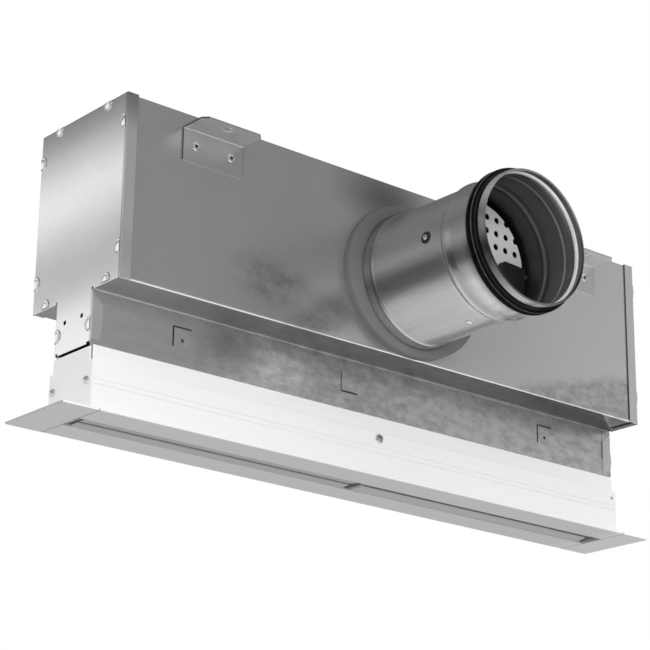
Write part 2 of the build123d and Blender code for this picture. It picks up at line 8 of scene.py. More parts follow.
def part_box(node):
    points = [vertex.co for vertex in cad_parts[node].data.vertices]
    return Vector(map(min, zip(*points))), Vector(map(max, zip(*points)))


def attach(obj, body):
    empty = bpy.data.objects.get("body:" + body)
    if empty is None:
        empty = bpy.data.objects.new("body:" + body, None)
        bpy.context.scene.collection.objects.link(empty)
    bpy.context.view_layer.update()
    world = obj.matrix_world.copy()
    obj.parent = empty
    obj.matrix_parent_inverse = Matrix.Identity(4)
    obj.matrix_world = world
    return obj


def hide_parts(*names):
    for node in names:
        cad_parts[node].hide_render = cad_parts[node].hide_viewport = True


# Ceiling slot grille with its plenum box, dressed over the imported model.
# Lengths are in metres: X along the slot, the spigot points to -Y, +Z goes into the ceiling.
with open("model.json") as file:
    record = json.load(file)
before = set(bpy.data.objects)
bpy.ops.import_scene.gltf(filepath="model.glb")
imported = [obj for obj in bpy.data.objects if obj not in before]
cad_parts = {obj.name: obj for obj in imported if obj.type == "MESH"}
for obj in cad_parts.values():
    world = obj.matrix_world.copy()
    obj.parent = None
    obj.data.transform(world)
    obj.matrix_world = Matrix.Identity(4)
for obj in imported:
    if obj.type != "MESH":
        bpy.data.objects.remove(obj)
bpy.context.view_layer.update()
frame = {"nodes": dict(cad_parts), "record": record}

MM = 0.001

# Camera of the photograph
CAMERA_PLACE = (-1.235, -1.431, -0.4985)
CAMERA_AZIMUTH = -39.868
CAMERA_ELEVATION = -19.118
CAMERA_ROLL = 0.753
CAMERA_LENS = 118.08
CAMERA_SENSOR = 36.0

# Studio light
AMBIENT = 1.1
KEY_DIRECTION = (-0.58, -0.8, 0.12)
KEY_DISTANCE = 3.2
KEY_SIZE = 1.6
KEY_POWER = 30.0
FLOOR_GREY = 0.46
FLOOR_Z = -0.9
FLOOR_SIZE = 14.0
# Brightness of the mirrored studio by elevation in degrees
STUDIO_BANDS = (
    (-90, 1.2), (-38, 1.2), (-27, 0.14), (-9, 0.14),
    (-2, 0.5), (20, 0.5), (30, 0.16), (60, 0.16),
)
# Soft lights and shades in it: azimuth, elevation, inner and outer reach in degrees, strength
BACK_GLOW = (124, 16, 4, 16, 0.8)
FRONT_SHADE = (-62, 25, 8, 32, 0.62)

# Spigot pipe, measured back from its mouth
SPIGOT_WALL = 0.8 * MM
BEAD_CREST = 48.3 * MM
BEAD_HEIGHT = 1.9 * MM
BEAD_FRONT_RUN = 9.0 * MM
BEAD_REAR_RUN = 6.0 * MM
ROOT_START = 145.0 * MM
GROOVE_SETBACK = 19.0 * MM
GROOVE_DEPTH = 1.6 * MM
GROOVE_LENGTH = 12.0 * MM
NOSE_STEP = 0.2 * MM
RIM_TURN = 2.2 * MM
RIM_ROUND = 0.6 * MM
RIM_HEM = 0.7 * MM
# Band inside the mouth that takes the painted highlight
HIGHLIGHT_BAND_START = 5.9 * MM
HIGHLIGHT_BAND_END = 9.8 * MM
ROOT_RADIUS = 64.0 * MM
ROOT_LENGTH = 19.5 * MM
ROOT_FLANGE = 7.0 * MM
PIPE_RADIUS = 62.3 * MM
SHOULDER_RUN = 1.5 * MM

# Gasket
LIP_RADIUS = 66.2 * MM
LIP_LEAN = 1.2 * MM
LIP_PITCH = 6.0 * MM
LIP_ROOT = 1.0 * MM
LIP_TIP = 0.5 * MM
GASKET_NOSE = 2.5 * MM
NOSE_BACK = 9.9 * MM

# Collar
COLLAR_BORE = 64.3 * MM
COLLAR_ROUND = 0.4 * MM

# Damper
DIMPLE_RADIUS = 1.5 * MM
DAMPER_RADIUS = 56.0 * MM
DAMPER_SHEET = 1.0 * MM
HOLE_RADIUS = 3.0 * MM
HOLE_PITCH_X = 12.0 * MM
HOLE_PITCH_Z = 13.0 * MM
HOLE_SHIFT = -2.0 * MM
HOLE_FIRST_ROW = 18.3 * MM
HOLE_ROWS = 3
HOLE_BORDER = 0.6 * MM
DAMPER_ROLL = 3.5
SHAFT_GRIP = 20.0 * MM
BLOCK_LEFT = 24.5 * MM
BLOCK_WIDTH = 26.0 * MM
BLOCK_BOTTOM = -31.0 * MM
BLOCK_HEIGHT = 34.0 * MM
BUSH_RISE = 1.2 * MM
BUSH_BORE = 2.55 * MM
BUSH_DEPTH = 3.0 * MM

# Tabs in the neck
TAB_SIDE_X = 220.5 * MM
TAB_MIDDLE_X = -32.0 * MM
TAB_WIDTH = 19.5 * MM
TAB_BOTTOM = 78.0 * MM
TAB_HEIGHT = 18.0 * MM
TAB_SHADOW_WIDTH = 0.8 * MM

# Folded corner at the right end of the ledge
CORNER_SLANT = 0.69
CORNER_REACH = 245.6 * MM

# Folds, brackets and frame
PROFILE_END = 312.6 * MM
FLANGE_END = 348.5 * MM
FLANGE_TOP = 2.0 * MM
FOLD_EDGE = 303.0 * MM
HANGER_HOLE = 4.25 * MM
HANGER_HOLE_INSET = 9.4 * MM
HANGER_CHAMFER = 5.0 * MM
HANGER_SHEET = 1.5 * MM
FRAME_TOP = 61.6 * MM

# Rivets, screws and clinch marks
RIVET_X = 19.0 * MM
RIVET_DROP = 15.5 * MM
RIVET_HEAD = 4.0 * MM
RIVET_RISE = 1.3 * MM
RIVET_BORE = 1.5 * MM
STOP_RIVET_ANGLE = -98.0
STOP_RIVET_HEAD = 3.2 * MM
STOP_RIVET_SHANK = 1.6 * MM
STOP_RIVET_LENGTH = 8.0 * MM
END_SCREW_RISE = 1.9 * MM
CENTRE_SCREW_RISE = 2.0 * MM
SCREW_SHANK = 8.0 * MM
CLINCH_RADIUS = 6.6 * MM
CLINCH_RISE = 0.95 * MM
CLINCH_MARGIN = 2.4 * MM
CLINCH_CUT = 1.6 * MM
CLINCH_TOP_Y = 37.0 * MM
CLINCH_UPPER_Z = 250.0 * MM
CLINCH_LOWER_Z = 137.0 * MM
CLINCH_LEDGE_Y = 45.3 * MM
CLINCH_NECK_Z = 79.0 * MM
PLATE_OUTSIDE = 315.0 * MM
PLATE_LEDGE = 109.4 * MM
PLATE_NECK_HALF = 27.0 * MM

# Radius of a ring that closes a lathe piece on its axis, and the number of sides of round pieces
ON_AXIS = 0.01 * MM
PIPE_SIDES = 128
HOLE_SIDES = 24
RIVET_SIDES = 28
SCREW_SIDES = 32
CLINCH_SIDES = 40

# Zones of the finishes: from and to along the axes, in metres
LEDGE = {"Z": (0.1089, 0.1112), "Y": (-0.0632, 0.08)}
# Painted highlight along the front edge of the ledge, where the sheet is bent
BEND_HIGHLIGHT = {"Z": (0.108, 0.1112), "Y": (-0.07, -0.0634)}
SLIT = {"X": (0.3042, 0.31), "Y": (-0.0645, -0.0365)}
SLIT_ON_PLATE = {**SLIT, "Z": (0.107, 0.1112)}
WALL_JOINT = {"X": (0.301, 0.3032), "Z": (0.1115, 0.28)}
NECK_JOINT = {"X": (0.3022, 0.3032), "Z": (0.05, 0.108)}
NECK_FLAP = {"Y": (-0.029, -0.0262), "Z": (0.06, 0.1085)}
# Painted highlight on the front corner of the plate
PLATE_CORNER_HIGHLIGHT = {"X": (-0.4, -0.3148), "Y": (-0.068, -0.0646)}
END_TOP_EDGE = {"X": (-0.33, -PROFILE_END), "Z": (0.0592, 0.07)}
PROFILE_GAP = {"X": (-0.3128, -0.3112), "Y": (-0.032, -0.0262), "Z": (0.048, 0.0616)}
FOLD_TURN = (-0.0652, -0.0645)
NECK_FADE = (0.1085, 0.1115)
SEAM_BLUR = 0.2 * MM

# Soft patches of the front shell: middle, reach and turn
TOP_SHADOW = ((-0.02, -0.065, 0.258), (0.085, 0.05, 0.045))
# Painted reflection and shadow of the pipe on the panel, in two patches
PIPE_MIRROR_STREAK = ((-0.1, -0.065, 0.122), (0.07, 0.05, 0.026), (0, radians(-30), 0))
PIPE_MIRROR_MOTTLE = ((-0.155, -0.065, 0.146), (0.06, 0.05, 0.036))
SMUDGE = ((-0.17, -0.027, 0.09), (0.05, 0.02, 0.03))
LOW_RIGHT = ((0.3, -0.065, 0.1), (0.3, 0.05, 0.07), (0, radians(-10), 0))

# Painted light, shade and reflection, as tone factors by millimetres: along X for the ledge, Z for
# the plate, Z from the pipe's axis else
LEDGE_SHADE_TONES = ((-315, 0.66), (-100, 0.4), (100, 0.26), (315, 0.2))
PLATE_REFLECTION_BANDS = (
    (61, 1.05), (92, 1.05), (117, 0.59), (158, 0.59),
    (204, 1.3), (247, 0.64), (277, 0.28),
)
PIPE_REFLECTION_LEVELS = (
    (-64, 0.76), (-44, 0.84), (-31, 0.52), (-22, 0.32), (-14, 0.5),
    (-5, 0.84), (6, 0.56), (26, 0.95), (40, 0.56), (64, 0.5),
)
NOSE_REFLECTION_TONES = ((-62, 2.0), (-48, 0.5), (-30, 0.35), (-8, 0.7), (12, 0.8), (30, 2.0), (62, 2.0))
RIM_HIGHLIGHT_TONES = ((-62, 1.0), (-40, 0.74), (50, 1.0), (61, 1.5))
DISC_SHADE_TONES = ((-10, 0.55), (10, 0.75), (30, 1.02))

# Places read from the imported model
pipe_low, pipe_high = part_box("spigot_pipe")
collar_low, collar_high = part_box("spigot_collar")
shaft_low, shaft_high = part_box("damper_shaft")
blade_low, blade_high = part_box("damper_blade")
block_low, block_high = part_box("damper_block")
bush_low, bush_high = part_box("damper_bushes")
stop_low, stop_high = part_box("damper_stop_rivet")
left_plate_low, left_plate_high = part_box("left_end_plate")
hanger_low, hanger_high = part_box("front_left_hanger")
right_hanger_low, right_hanger_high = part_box("front_right_hanger")
screw_low, screw_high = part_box("end_screws")
middle_screw_low, middle_screw_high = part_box("centre_screws")

spigot_x = (pipe_low.x + pipe_high.x) / 2
spigot_z = (pipe_low.z + pipe_high.z) / 2
mouth_y = pipe_low.y
collar_y = collar_low.y
shaft_y = (shaft_low.y + shaft_high.y) / 2

# Turns of a lathe piece whose own axis is +Z
TO_FRONT = (pi / 2, 0, 0)
TO_REAR = (-pi / 2, 0, 0)
TO_LEFT = (0, -pi / 2, 0)
TO_RIGHT = (0, pi / 2, 0)


# Small helpers


def clear_selection():
    """Nothing selected, object mode."""
    if bpy.context.object and bpy.context.object.mode != "OBJECT":
        bpy.ops.object.mode_set(mode="OBJECT")
    bpy.ops.object.select_all(action="DESELECT")


def take(piece):
    """Only this piece selected and active."""
    clear_selection()
    piece.select_set(True)
    bpy.context.view_layer.objects.active = piece


def edit_all():
    """Edit mode, with everything of the active piece selected."""
    bpy.ops.object.mode_set(mode="EDIT")
    bpy.ops.mesh.select_all(action="SELECT")


def settle(piece, name):
    """Name a finished piece and put its place into its mesh."""
    take(piece)
    bpy.ops.object.transform_apply(location=True, rotation=True, scale=True)
    piece.name = name
    piece.data.name = name
    return piece


def moved(piece, place):
    """Put a finished piece in its place."""
    piece.location = place
    return settle(piece, piece.name)


def copy_at(piece, place):
    """A copy of a small piece with its own mesh, moved to a place."""
    twin = piece.copy()
    twin.data = piece.data.copy()
    bpy.context.scene.collection.objects.link(twin)
    twin.location = place
    return twin


def copies(model, places):
    """Copies of a small piece at several places; the model itself goes."""
    twins = [copy_at(model, place) for place in places]
    bpy.data.objects.remove(model)
    return twins


def joined(pieces, name):
    """Several copies made one piece."""
    clear_selection()
    for piece in pieces:
        piece.select_set(True)
    bpy.context.view_layer.objects.active = pieces[0]
    bpy.ops.object.join()
    return settle(bpy.context.object, name)


def pulled_rings(rings, sides):
    """Skin pulled along Z from ring to ring; a ring is (half width, half height, place)."""
    clear_selection()
    width, height, along = rings[0]
    bpy.ops.mesh.primitive_circle_add(vertices=sides, radius=width, location=(0, 0, along))
    piece = bpy.context.object
    bpy.ops.object.transform_apply(location=True, rotation=False, scale=False)
    edit_all()
    for next_width, next_height, next_along in rings[1:]:
        bpy.ops.mesh.extrude_edges_move(
            TRANSFORM_OT_translate={"value": (0, 0, next_along - along)}
        )
        bpy.ops.transform.resize(
            value=(next_width / width, next_height / height, 1),
            center_override=(0, 0, next_along),
        )
        width, height, along = next_width, next_height, next_along
    bpy.ops.mesh.select_all(action="SELECT")
    bpy.ops.mesh.remove_doubles(threshold=0.002 * MM)
    bpy.ops.mesh.normals_make_consistent(inside=False)
    bpy.ops.object.mode_set(mode="OBJECT")
    return piece


def turned(name, section, axis_turn, sides):
    """Lathe piece about its own origin.

    A section point is (radius, distance along the axis). Axis_turn turns +Z to the real axis.
    """
    piece = pulled_rings([(radius, radius, along) for radius, along in section], sides)
    face_outwards(piece)
    piece.rotation_euler = axis_turn
    return settle(piece, name)


def face_outwards(piece):
    """Turn the faces of a lathe piece away from its axis, also where its section is open."""
    outward = sum(face.normal.xy.dot(face.center.xy) * face.area for face in piece.data.polygons)
    if outward < 0:
        take(piece)
        edit_all()
        bpy.ops.mesh.flip_normals()
        bpy.ops.object.mode_set(mode="OBJECT")


def smooth(piece, angle=30):
    """Smooth shading with sharp edges kept."""
    take(piece)
    bpy.ops.object.shade_smooth_by_angle(angle=radians(angle))


def apply_modifier(piece, name, kind, **settings):
    """Put one modifier on a piece and make it part of the mesh."""
    take(piece)
    modifier = piece.modifiers.new(name, kind)
    for setting, value in settings.items():
        setattr(modifier, setting, value)
    bpy.ops.object.modifier_apply(modifier=modifier.name)


def soften(piece, width, segments=3, angle=40):
    """Round the sharp edges a little."""
    apply_modifier(
        piece,
        "edges",
        "BEVEL",
        width=width,
        segments=segments,
        limit_method="ANGLE",
        angle_limit=radians(angle),
    )


def cut_away(piece, tool):
    """Cut a tool's shape out of a piece and throw the tool away."""
    apply_modifier(
        piece, "cut", "BOOLEAN", operation="DIFFERENCE", solver="EXACT", object=tool
    )
    bpy.data.objects.remove(tool)


def mount_piece(piece, body, slot, *nodes, finish=None):
    """Give a piece its body and the finish of its slot or its own, and hide the nodes that it
    stands for.

    The pipe and the rivets come with several finishes of their own.
    """
    if len(piece.data.materials) < 2:
        piece.data.materials.clear()
        piece.data.materials.append(finishes[finish or slot])
    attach(piece, body)
    if nodes:
        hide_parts(*nodes)


def arc(centre_radius, centre_along, size, start, end, steps):
    """Points of a round stretch in a section, by angle in degrees."""
    points = []
    for step in range(steps + 1):
        angle = radians(start + (end - start) * step / steps)
        points.append((centre_radius + size * cos(angle), centre_along + size * sin(angle)))
    return points


def scaled(radius, rise, *points):
    """Section points given as parts of a radius and a rise."""
    return [(radius * out, rise * up) for out, up in points]


# Materials


class Patterns:
    """The node patterns that the materials and the studio share."""

    def __init__(self, tree):
        self.nodes = tree.nodes
        self.links = tree.links

    def feed(self, socket, value):
        """Set a socket to a constant, or link another socket to it."""
        if isinstance(value, bpy.types.NodeSocket):
            self.links.new(value, socket)
        else:
            socket.default_value = value

    def node(self, kind, **inputs):
        """A new node with some of its inputs set by name."""
        node = self.nodes.new("ShaderNode" + kind)
        for name, value in inputs.items():
            self.feed(node.inputs[name], value)
        return node

    def math(self, kind, *values):
        node = self.node("Math")
        node.operation = kind
        for socket, value in zip(node.inputs, values):
            self.feed(socket, value)
        return node.outputs["Value"]

    def times(self, value, *factors):
        """Product of several values."""
        for factor in factors:
            value = self.math("MULTIPLY", value, factor)
        return value

    def spread(self, value, low, high, to_low, to_high, smooth_step=False):
        """Carry a value from one range over to another."""
        node = self.node("MapRange", Value=value)
        node.interpolation_type = "SMOOTHSTEP" if smooth_step else "LINEAR"
        for socket, number in zip(node.inputs[1:5], (low, high, to_low, to_high)):
            socket.default_value = number
        return node.outputs["Result"]

    def part(self, vector, axis):
        """One coordinate of a vector."""
        return self.node("SeparateXYZ", Vector=vector).outputs[axis]

    def ramp(self, value, stops, interpolation):
        """Greys at several positions between 0 and 1."""
        node = self.node("ValToRGB", Fac=value)
        ramp = node.color_ramp
        ramp.interpolation = interpolation
        while len(ramp.elements) < len(stops):
            ramp.elements.new(0.5)
        for element, (position, level) in zip(ramp.elements, stops):
            element.position = position
            element.color = (level, level, level, 1)
        return node.outputs["Color"]


class Finish(Patterns):
    """A material under construction; its tone is a grey multiplied by patterns."""

    def __init__(self, name, metallic=0.0, roughness=0.5, grey=0.5, specular=0.5):
        self.material = bpy.data.materials.new(name)
        self.material.use_nodes = True
        super().__init__(self.material.node_tree)
        self.shader = self.nodes["Principled BSDF"]
        numbers = {"Metallic": metallic, "Roughness": roughness, "Specular IOR Level": specular}
        for socket, number in numbers.items():
            self.shader.inputs[socket].default_value = number
        self.shader.inputs["Base Color"].default_value = (grey, grey, grey, 1)
        self.place = self.node("TexCoord").outputs["Object"]

    def mapped(self, centre=(0, 0, 0), size=(1, 1, 1), turn=(0, 0, 0)):
        """The place on the piece, seen from a middle in sizes of its own."""
        node = self.node("Mapping", Vector=self.place, Location=centre, Rotation=turn, Scale=size)
        node.vector_type = "TEXTURE"
        return node.outputs["Vector"]

    def noise(self, size, detail=3.0, stretch=(1, 1, 1), roughness=0.5):
        place = self.mapped(size=[size * s for s in stretch])
        node = self.node("TexNoise", Vector=place, Scale=1.0, Detail=detail, Roughness=roughness)
        return node.outputs["Fac"]

    def grain(self, size, dark, light, detail=3.0, stretch=(1, 1, 1)):
        """Noise that goes softly between two tone factors."""
        return self.spread(self.noise(size, detail, stretch), 0.3, 0.7, dark, light)

    def clouds(self, size, dark, light, stretch):
        """Rougher noise between two tone factors, drawn out along X."""
        noise = self.noise(size, 5, (stretch, 1, 1), 0.65)
        return self.spread(noise, 0.35, 0.65, dark, light)

    def spangle(self, size):
        """A random level for every crystal of the zinc."""
        crystals = self.node("TexVoronoi", Vector=self.mapped(size=[size] * 3), Scale=1.0)
        return self.node("SeparateColor", Color=crystals.outputs["Color"]).outputs["Red"]

    def reach(self, centre, size=(1, 1, 1), turn=(0, 0, 0)):
        """Distance from a middle, in the sizes given for the three axes."""
        node = self.node("VectorMath")
        node.operation = "LENGTH"
        self.links.new(self.mapped(centre, size, turn), node.inputs[0])
        return node.outputs["Value"]

    def patch(self, centre, size, turn=(0, 0, 0)):
        """1 in the middle of a soft oval patch and 0 outside it."""
        return self.spread(self.reach(centre, size, turn), 0.0, 1.0, 1.0, 0.0, True)

    def along(self, axis, low, high, to_low, to_high):
        """A soft change of tone along one axis."""
        return self.spread(self.part(self.place, axis), low, high, to_low, to_high, True)

    def distance(self, axis, middles):
        """Distance along one axis from the nearer of two mirrored places."""
        side = self.math("ABSOLUTE", self.part(self.place, axis))
        return self.math("ABSOLUTE", self.math("SUBTRACT", side, middles))

    def levels(self, axis, stops, origin=0.0):
        """Tone factors up to 2, by millimetres from an origin, with soft steps between."""
        low, high = stops[0][0], stops[-1][0]
        place = self.part(self.place, axis)
        place = self.spread(place, origin + low * MM, origin + high * MM, 0, 1)
        halves = [((stop - low) / (high - low), level / 2) for stop, level in stops]
        return self.times(self.ramp(place, halves, "B_SPLINE"), 2)

    def area(self, soft=0.3 * MM, **zone):
        """1 inside a box given by its stretch along one or more axes."""
        mask = 1.0
        for axis, (low, high) in zone.items():
            rise = self.along(axis, low - soft, low + soft, 0, 1)
            fall = self.along(axis, high - soft, high + soft, 1, 0)
            mask = self.times(rise, fall, mask)
        return mask

    def only_where(self, mask, factor):
        """A tone factor that works only where the mask is 1."""
        change = self.times(mask, self.math("SUBTRACT", factor, 1))
        return self.math("ADD", change, 1)

    def within(self, factor, soft=SEAM_BLUR, **zone):
        """A tone factor that works only inside a box."""
        return self.only_where(self.area(soft, **zone), factor)

    def spot(self, patch, factor):
        """A tone factor that is full in the middle of a soft patch."""
        return self.only_where(self.patch(*patch), factor)

    def shade(self, tone, *factors):
        """Base colour: a grey tone multiplied by patterns."""
        value = self.math("MINIMUM", self.times(tone, *factors), 0.96)
        self.links.new(value, self.shader.inputs["Base Color"])
        return self

    def relief(self, height, strength, distance):
        """Fine bumps on top of the modelled shape."""
        bump = self.node("Bump", Strength=strength, Distance=distance, Height=height)
        self.links.new(bump.outputs["Normal"], self.shader.inputs["Normal"])
        return self


def sheet_finish(name, tone, contrast=0.06, roughness=0.3):
    """Galvanised sheet: crystal spangle, faint clouds and satin gloss."""
    finish = Finish(name, metallic=0.85)
    dull, bright = 1 - contrast, 1 + contrast
    crystals = finish.spread(finish.spangle(5 * MM), 0, 1, dull, bright)
    fine = finish.grain(1.6 * MM, dull, bright)
    pale = finish.grain(60 * MM, 0.985, 1.015, 2)
    gloss = finish.grain(25 * MM, roughness - 0.01, roughness + 0.01)
    finish.links.new(gloss, finish.shader.inputs["Roughness"])
    finish.base = finish.times(tone, crystals, fine, pale)
    return finish


def plain_finish(name, tone, metallic, roughness, *grain):
    """One tone with a grain: its size, darkest and lightest factor, detail and stretch."""
    finish = Finish(name, metallic, roughness)
    return finish.shade(tone, finish.grain(*grain)).material


def front_shell_finish():
    """Smooth on the left, dusty and spangled low on the right and on the neck, with painted
    reflections, painted shade and a painted highlight.
    """
    finish = sheet_finish("galvanised front shell", 0.66, 0.012)
    top_shadow = finish.spot(TOP_SHADOW, 0.38)
    # Painted reflection and shadow of the pipe, as mottled darkening in those patches
    pipe_reflection_mask = finish.math("MAXIMUM", finish.patch(*PIPE_MIRROR_STREAK), finish.patch(*PIPE_MIRROR_MOTTLE))
    mottled_pipe_reflection = finish.only_where(pipe_reflection_mask, finish.clouds(14 * MM, 0.5, 0.98, 1.5))
    smudge = finish.spot(SMUDGE, 0.6)
    neck = finish.along("Z", *NECK_FADE, 1.0, 0.0)
    wall = finish.math("SUBTRACT", 1, neck)
    ledge = finish.area(**LEDGE)
    # Painted highlight along the front edge of the ledge, where the sheet is bent
    bend_highlight = finish.within(1.2, **BEND_HIGHLIGHT)
    # Painted reflection: the wall lighter towards the right, and a little lighter at the far left
    right = finish.only_where(wall, finish.along("X", -0.05, 0.14, 1.0, 1.57))
    left = finish.only_where(wall, finish.along("X", -0.25, -0.1, 1.07, 1.0))
    low_right = finish.spread(finish.patch(*LOW_RIGHT), 0.02, 0.3, 0.0, 1.0)
    dusty = finish.math("MAXIMUM", low_right, neck)
    dusty = finish.times(dusty, finish.along("X", -0.26, -0.1, 0.25, 1.0))
    dust = finish.only_where(dusty, finish.clouds(9 * MM, 0.75, 1.16, 1.8))
    # Painted reflection: the neck lighter towards the right
    neck_painted_reflection = finish.only_where(neck, finish.along("X", -0.02, 0.1, 1.2, 1.4))
    # Painted shade and reflection: the underside of the ledge darker towards the right
    ledge_painted_shade = finish.only_where(ledge, finish.levels("X", LEDGE_SHADE_TONES))
    corner_tone = finish.only_where(low_right, 0.72)
    # The folded corner at the ledge's right end is lighter, with a slit across it
    slant = finish.times(finish.part(finish.place, "X"), CORNER_SLANT)
    slant = finish.math("SUBTRACT", slant, finish.part(finish.place, "Y"))
    corner = finish.spread(slant, CORNER_REACH, CORNER_REACH + 0.6 * MM, 0, 1)
    corner = finish.only_where(finish.times(ledge, corner), 3.4)
    slit = finish.times(ledge, finish.area(SEAM_BLUR, **SLIT))
    slit = finish.only_where(slit, 0.03)
    # Shadow in the open joint along the right fold
    joint = finish.within(0.3, **WALL_JOINT)
    low_joint = finish.within(0.5, **NECK_JOINT)
    shadows = (top_shadow, mottled_pipe_reflection, smudge, joint, low_joint, slit, *tab_shadows(finish))
    zones = (left, right, dust, neck_painted_reflection, ledge_painted_shade, corner_tone, corner, bend_highlight)
    return finish.shade(finish.base, *shadows, *zones).material


def tab_shadows(finish):
    """Painted shadows beside the cuts of the three tabs, fainter at the middle one."""
    half = TAB_WIDTH / 2
    top = TAB_BOTTOM + TAB_HEIGHT
    factors = []
    for x in (-TAB_SIDE_X, TAB_MIDDLE_X, TAB_SIDE_X):
        middle = x == TAB_MIDDLE_X
        side_x = x - half
        cross_z = TAB_BOTTOM if middle else top
        side = {"X": (side_x - TAB_SHADOW_WIDTH, side_x + TAB_SHADOW_WIDTH), "Z": (TAB_BOTTOM, top)}
        cross = {"X": (side_x, x + half), "Z": (cross_z - TAB_SHADOW_WIDTH, cross_z + TAB_SHADOW_WIDTH)}
        factors.append(finish.within(0.55 if middle else 0.08, **side))
        factors.append(finish.within(0.18 if middle else 0.3, **cross))
    return factors


def end_plate_finish():
    """The sheet bows a little; its gloss is painted into the colour as soft bands of painted
    reflection, with painted reflection on the fold strip, a painted highlight on the front corner
    and painted shade on the cut edge of the fold.
    """
    finish = sheet_finish("galvanised end plate", 0.8, 0.012)
    left = finish.along("X", -0.1, 0.1, 1.0, 0.0)
    # Painted reflection: soft bands of level on the left plate
    reflection_bands = finish.only_where(left, finish.levels("Z", PLATE_REFLECTION_BANDS))
    flap = finish.within(1.35, **NECK_FLAP)
    # Painted reflection: the fold strip lighter, on the left plate most of all low down
    fold = finish.along("Y", *FOLD_TURN, 1.55, 1.0)
    # Painted shade on the cut edge of the fold
    from_middle = finish.distance("X", 0.0)
    cut_edge_shade = finish.spread(from_middle, FOLD_EDGE, FOLD_EDGE + 0.3 * MM, 0.25, 1.0)
    strip = finish.times(left, finish.along("Y", *FOLD_TURN, 1.0, 0.0))
    strip = finish.only_where(strip, finish.along("Z", 0.12, 0.25, 1.3, 1.08))
    # Painted highlight on the front corner of the plate
    corner = finish.within(1.6, **PLATE_CORNER_HIGHLIGHT)
    slit = finish.within(0.03, **SLIT_ON_PLATE)
    return finish.shade(finish.base, reflection_bands, fold, strip, flap, corner, cut_edge_shade, slit).material


def bare_sheet_finish():
    """Sheet of the rear shell and the top, without stains."""
    finish = sheet_finish("galvanised sheet", 0.7)
    return finish.shade(finish.base).material


def bracket_finish():
    """Sawn edges and chamfers are painted darker than the faces, a painted shade; the right
    brackets are painted lighter, a painted light; and the wall of the hole has a painted highlight.
    """
    finish = sheet_finish("galvanised bracket", 0.66, 0.012, 0.36)
    half = (hanger_high.x - hanger_low.x) / 2
    across = finish.distance("X", abs(hanger_high.x + hanger_low.x) / 2)
    # Painted shade on the sawn edges and the chamfers
    sides = finish.spread(across, half - 0.35 * MM, half - 0.1 * MM, 1.0, 0.22)
    corner_reach = half - HANGER_CHAMFER - hanger_low.y
    outward = finish.math("ADD", across, finish.distance("Y", 0.0))
    chamfer_shade = finish.spread(outward, corner_reach - 0.4 * MM, corner_reach - 0.15 * MM, 1.0, 0.22)
    # Painted light on the brackets at the right
    right_painted_light = finish.along("X", 0.0, 0.2, 1.0, 1.3)
    # Painted highlight on the wall of the hole
    inwards = finish.distance("Y", abs(hanger_low.y) - HANGER_HOLE_INSET)
    squares = [finish.math("POWER", side, 2) for side in (across, inwards)]
    from_hole = finish.math("SQRT", finish.math("ADD", *squares))
    hole = finish.spread(from_hole, HANGER_HOLE, HANGER_HOLE + 0.4 * MM, 2.2, 1.0)
    return finish.shade(finish.base, sides, chamfer_shade, right_painted_light, hole).material


def pipe_finish():
    """Rolled sheet with painted reflection streaks along the pipe, painted highlight and shade on
    the bead and root, and painted shade at the shoulder and the lip.
    """
    finish = sheet_finish("rolled galvanised pipe", 0.7, 0.02, 0.22)
    drawn = finish.grain(6 * MM, 0.96, 1.04, 2, (1, 12, 1))
    # Painted reflection streaks along the pipe
    streaks = finish.levels("Z", PIPE_REFLECTION_LEVELS, spigot_z)
    # Painted highlight and shade on the bead, low down
    under = finish.along("Z", spigot_z - 30 * MM, spigot_z, 1.0, 0.0)
    crest, front_run, rear_run = (
        length / MM for length in (BEAD_CREST, BEAD_FRONT_RUN, BEAD_REAR_RUN)
    )
    bead_light_and_shade = (
        (22, 0.3), (29, 1.1), (crest - front_run, 0.7), (crest - 2, 0.42),
        (crest + 2.5, 1.9), (crest + rear_run, 1.0), (crest + rear_run + 6, 1.0),
    )
    bead_light_and_shade = finish.only_where(under, finish.levels("Y", bead_light_and_shade, mouth_y))
    root = mouth_y + ROOT_START
    # Painted shade over the edge of the shoulder
    shoulder = finish.within(0.72, 0.6 * MM, Y=(root - 3 * MM, root))
    # Painted light on the root flange: lighter low down, darker at the top
    ring = finish.along("Z", spigot_z - 30 * MM, spigot_z + 40 * MM, 1.25, 0.7)
    ring = finish.only_where(finish.along("Y", root, root + 1 * MM, 0.0, 1.0), ring)
    # Painted reflection on the nose: darker at mid height, where it faces away from the light
    nose = finish.along("Y", mouth_y + 7 * MM, mouth_y + 8 * MM, 1.0, 0.0)
    nose = finish.only_where(nose, finish.levels("Z", NOSE_REFLECTION_TONES, spigot_z))
    # Painted shade on the right of the lip
    right_lip_shade = ((spigot_x + 62 * MM, mouth_y, spigot_z), (0.03, 0.006, 0.07))
    lip = finish.spot(right_lip_shade, 0.4)
    around = (bead_light_and_shade, shoulder, ring, nose, lip)
    return finish.shade(finish.base, drawn, streaks, *around).material


def painted_highlight_finish():
    """Painted highlight on the sheet near the mouth, with painted light and shade by height."""
    finish = Finish("rubbed sheet", metallic=0.25, roughness=0.3)
    painted_highlight = finish.grain(2.5 * MM, 0.86, 1.06)
    return finish.shade(1.0, painted_highlight, finish.levels("Z", RIM_HIGHLIGHT_TONES, spigot_z)).material


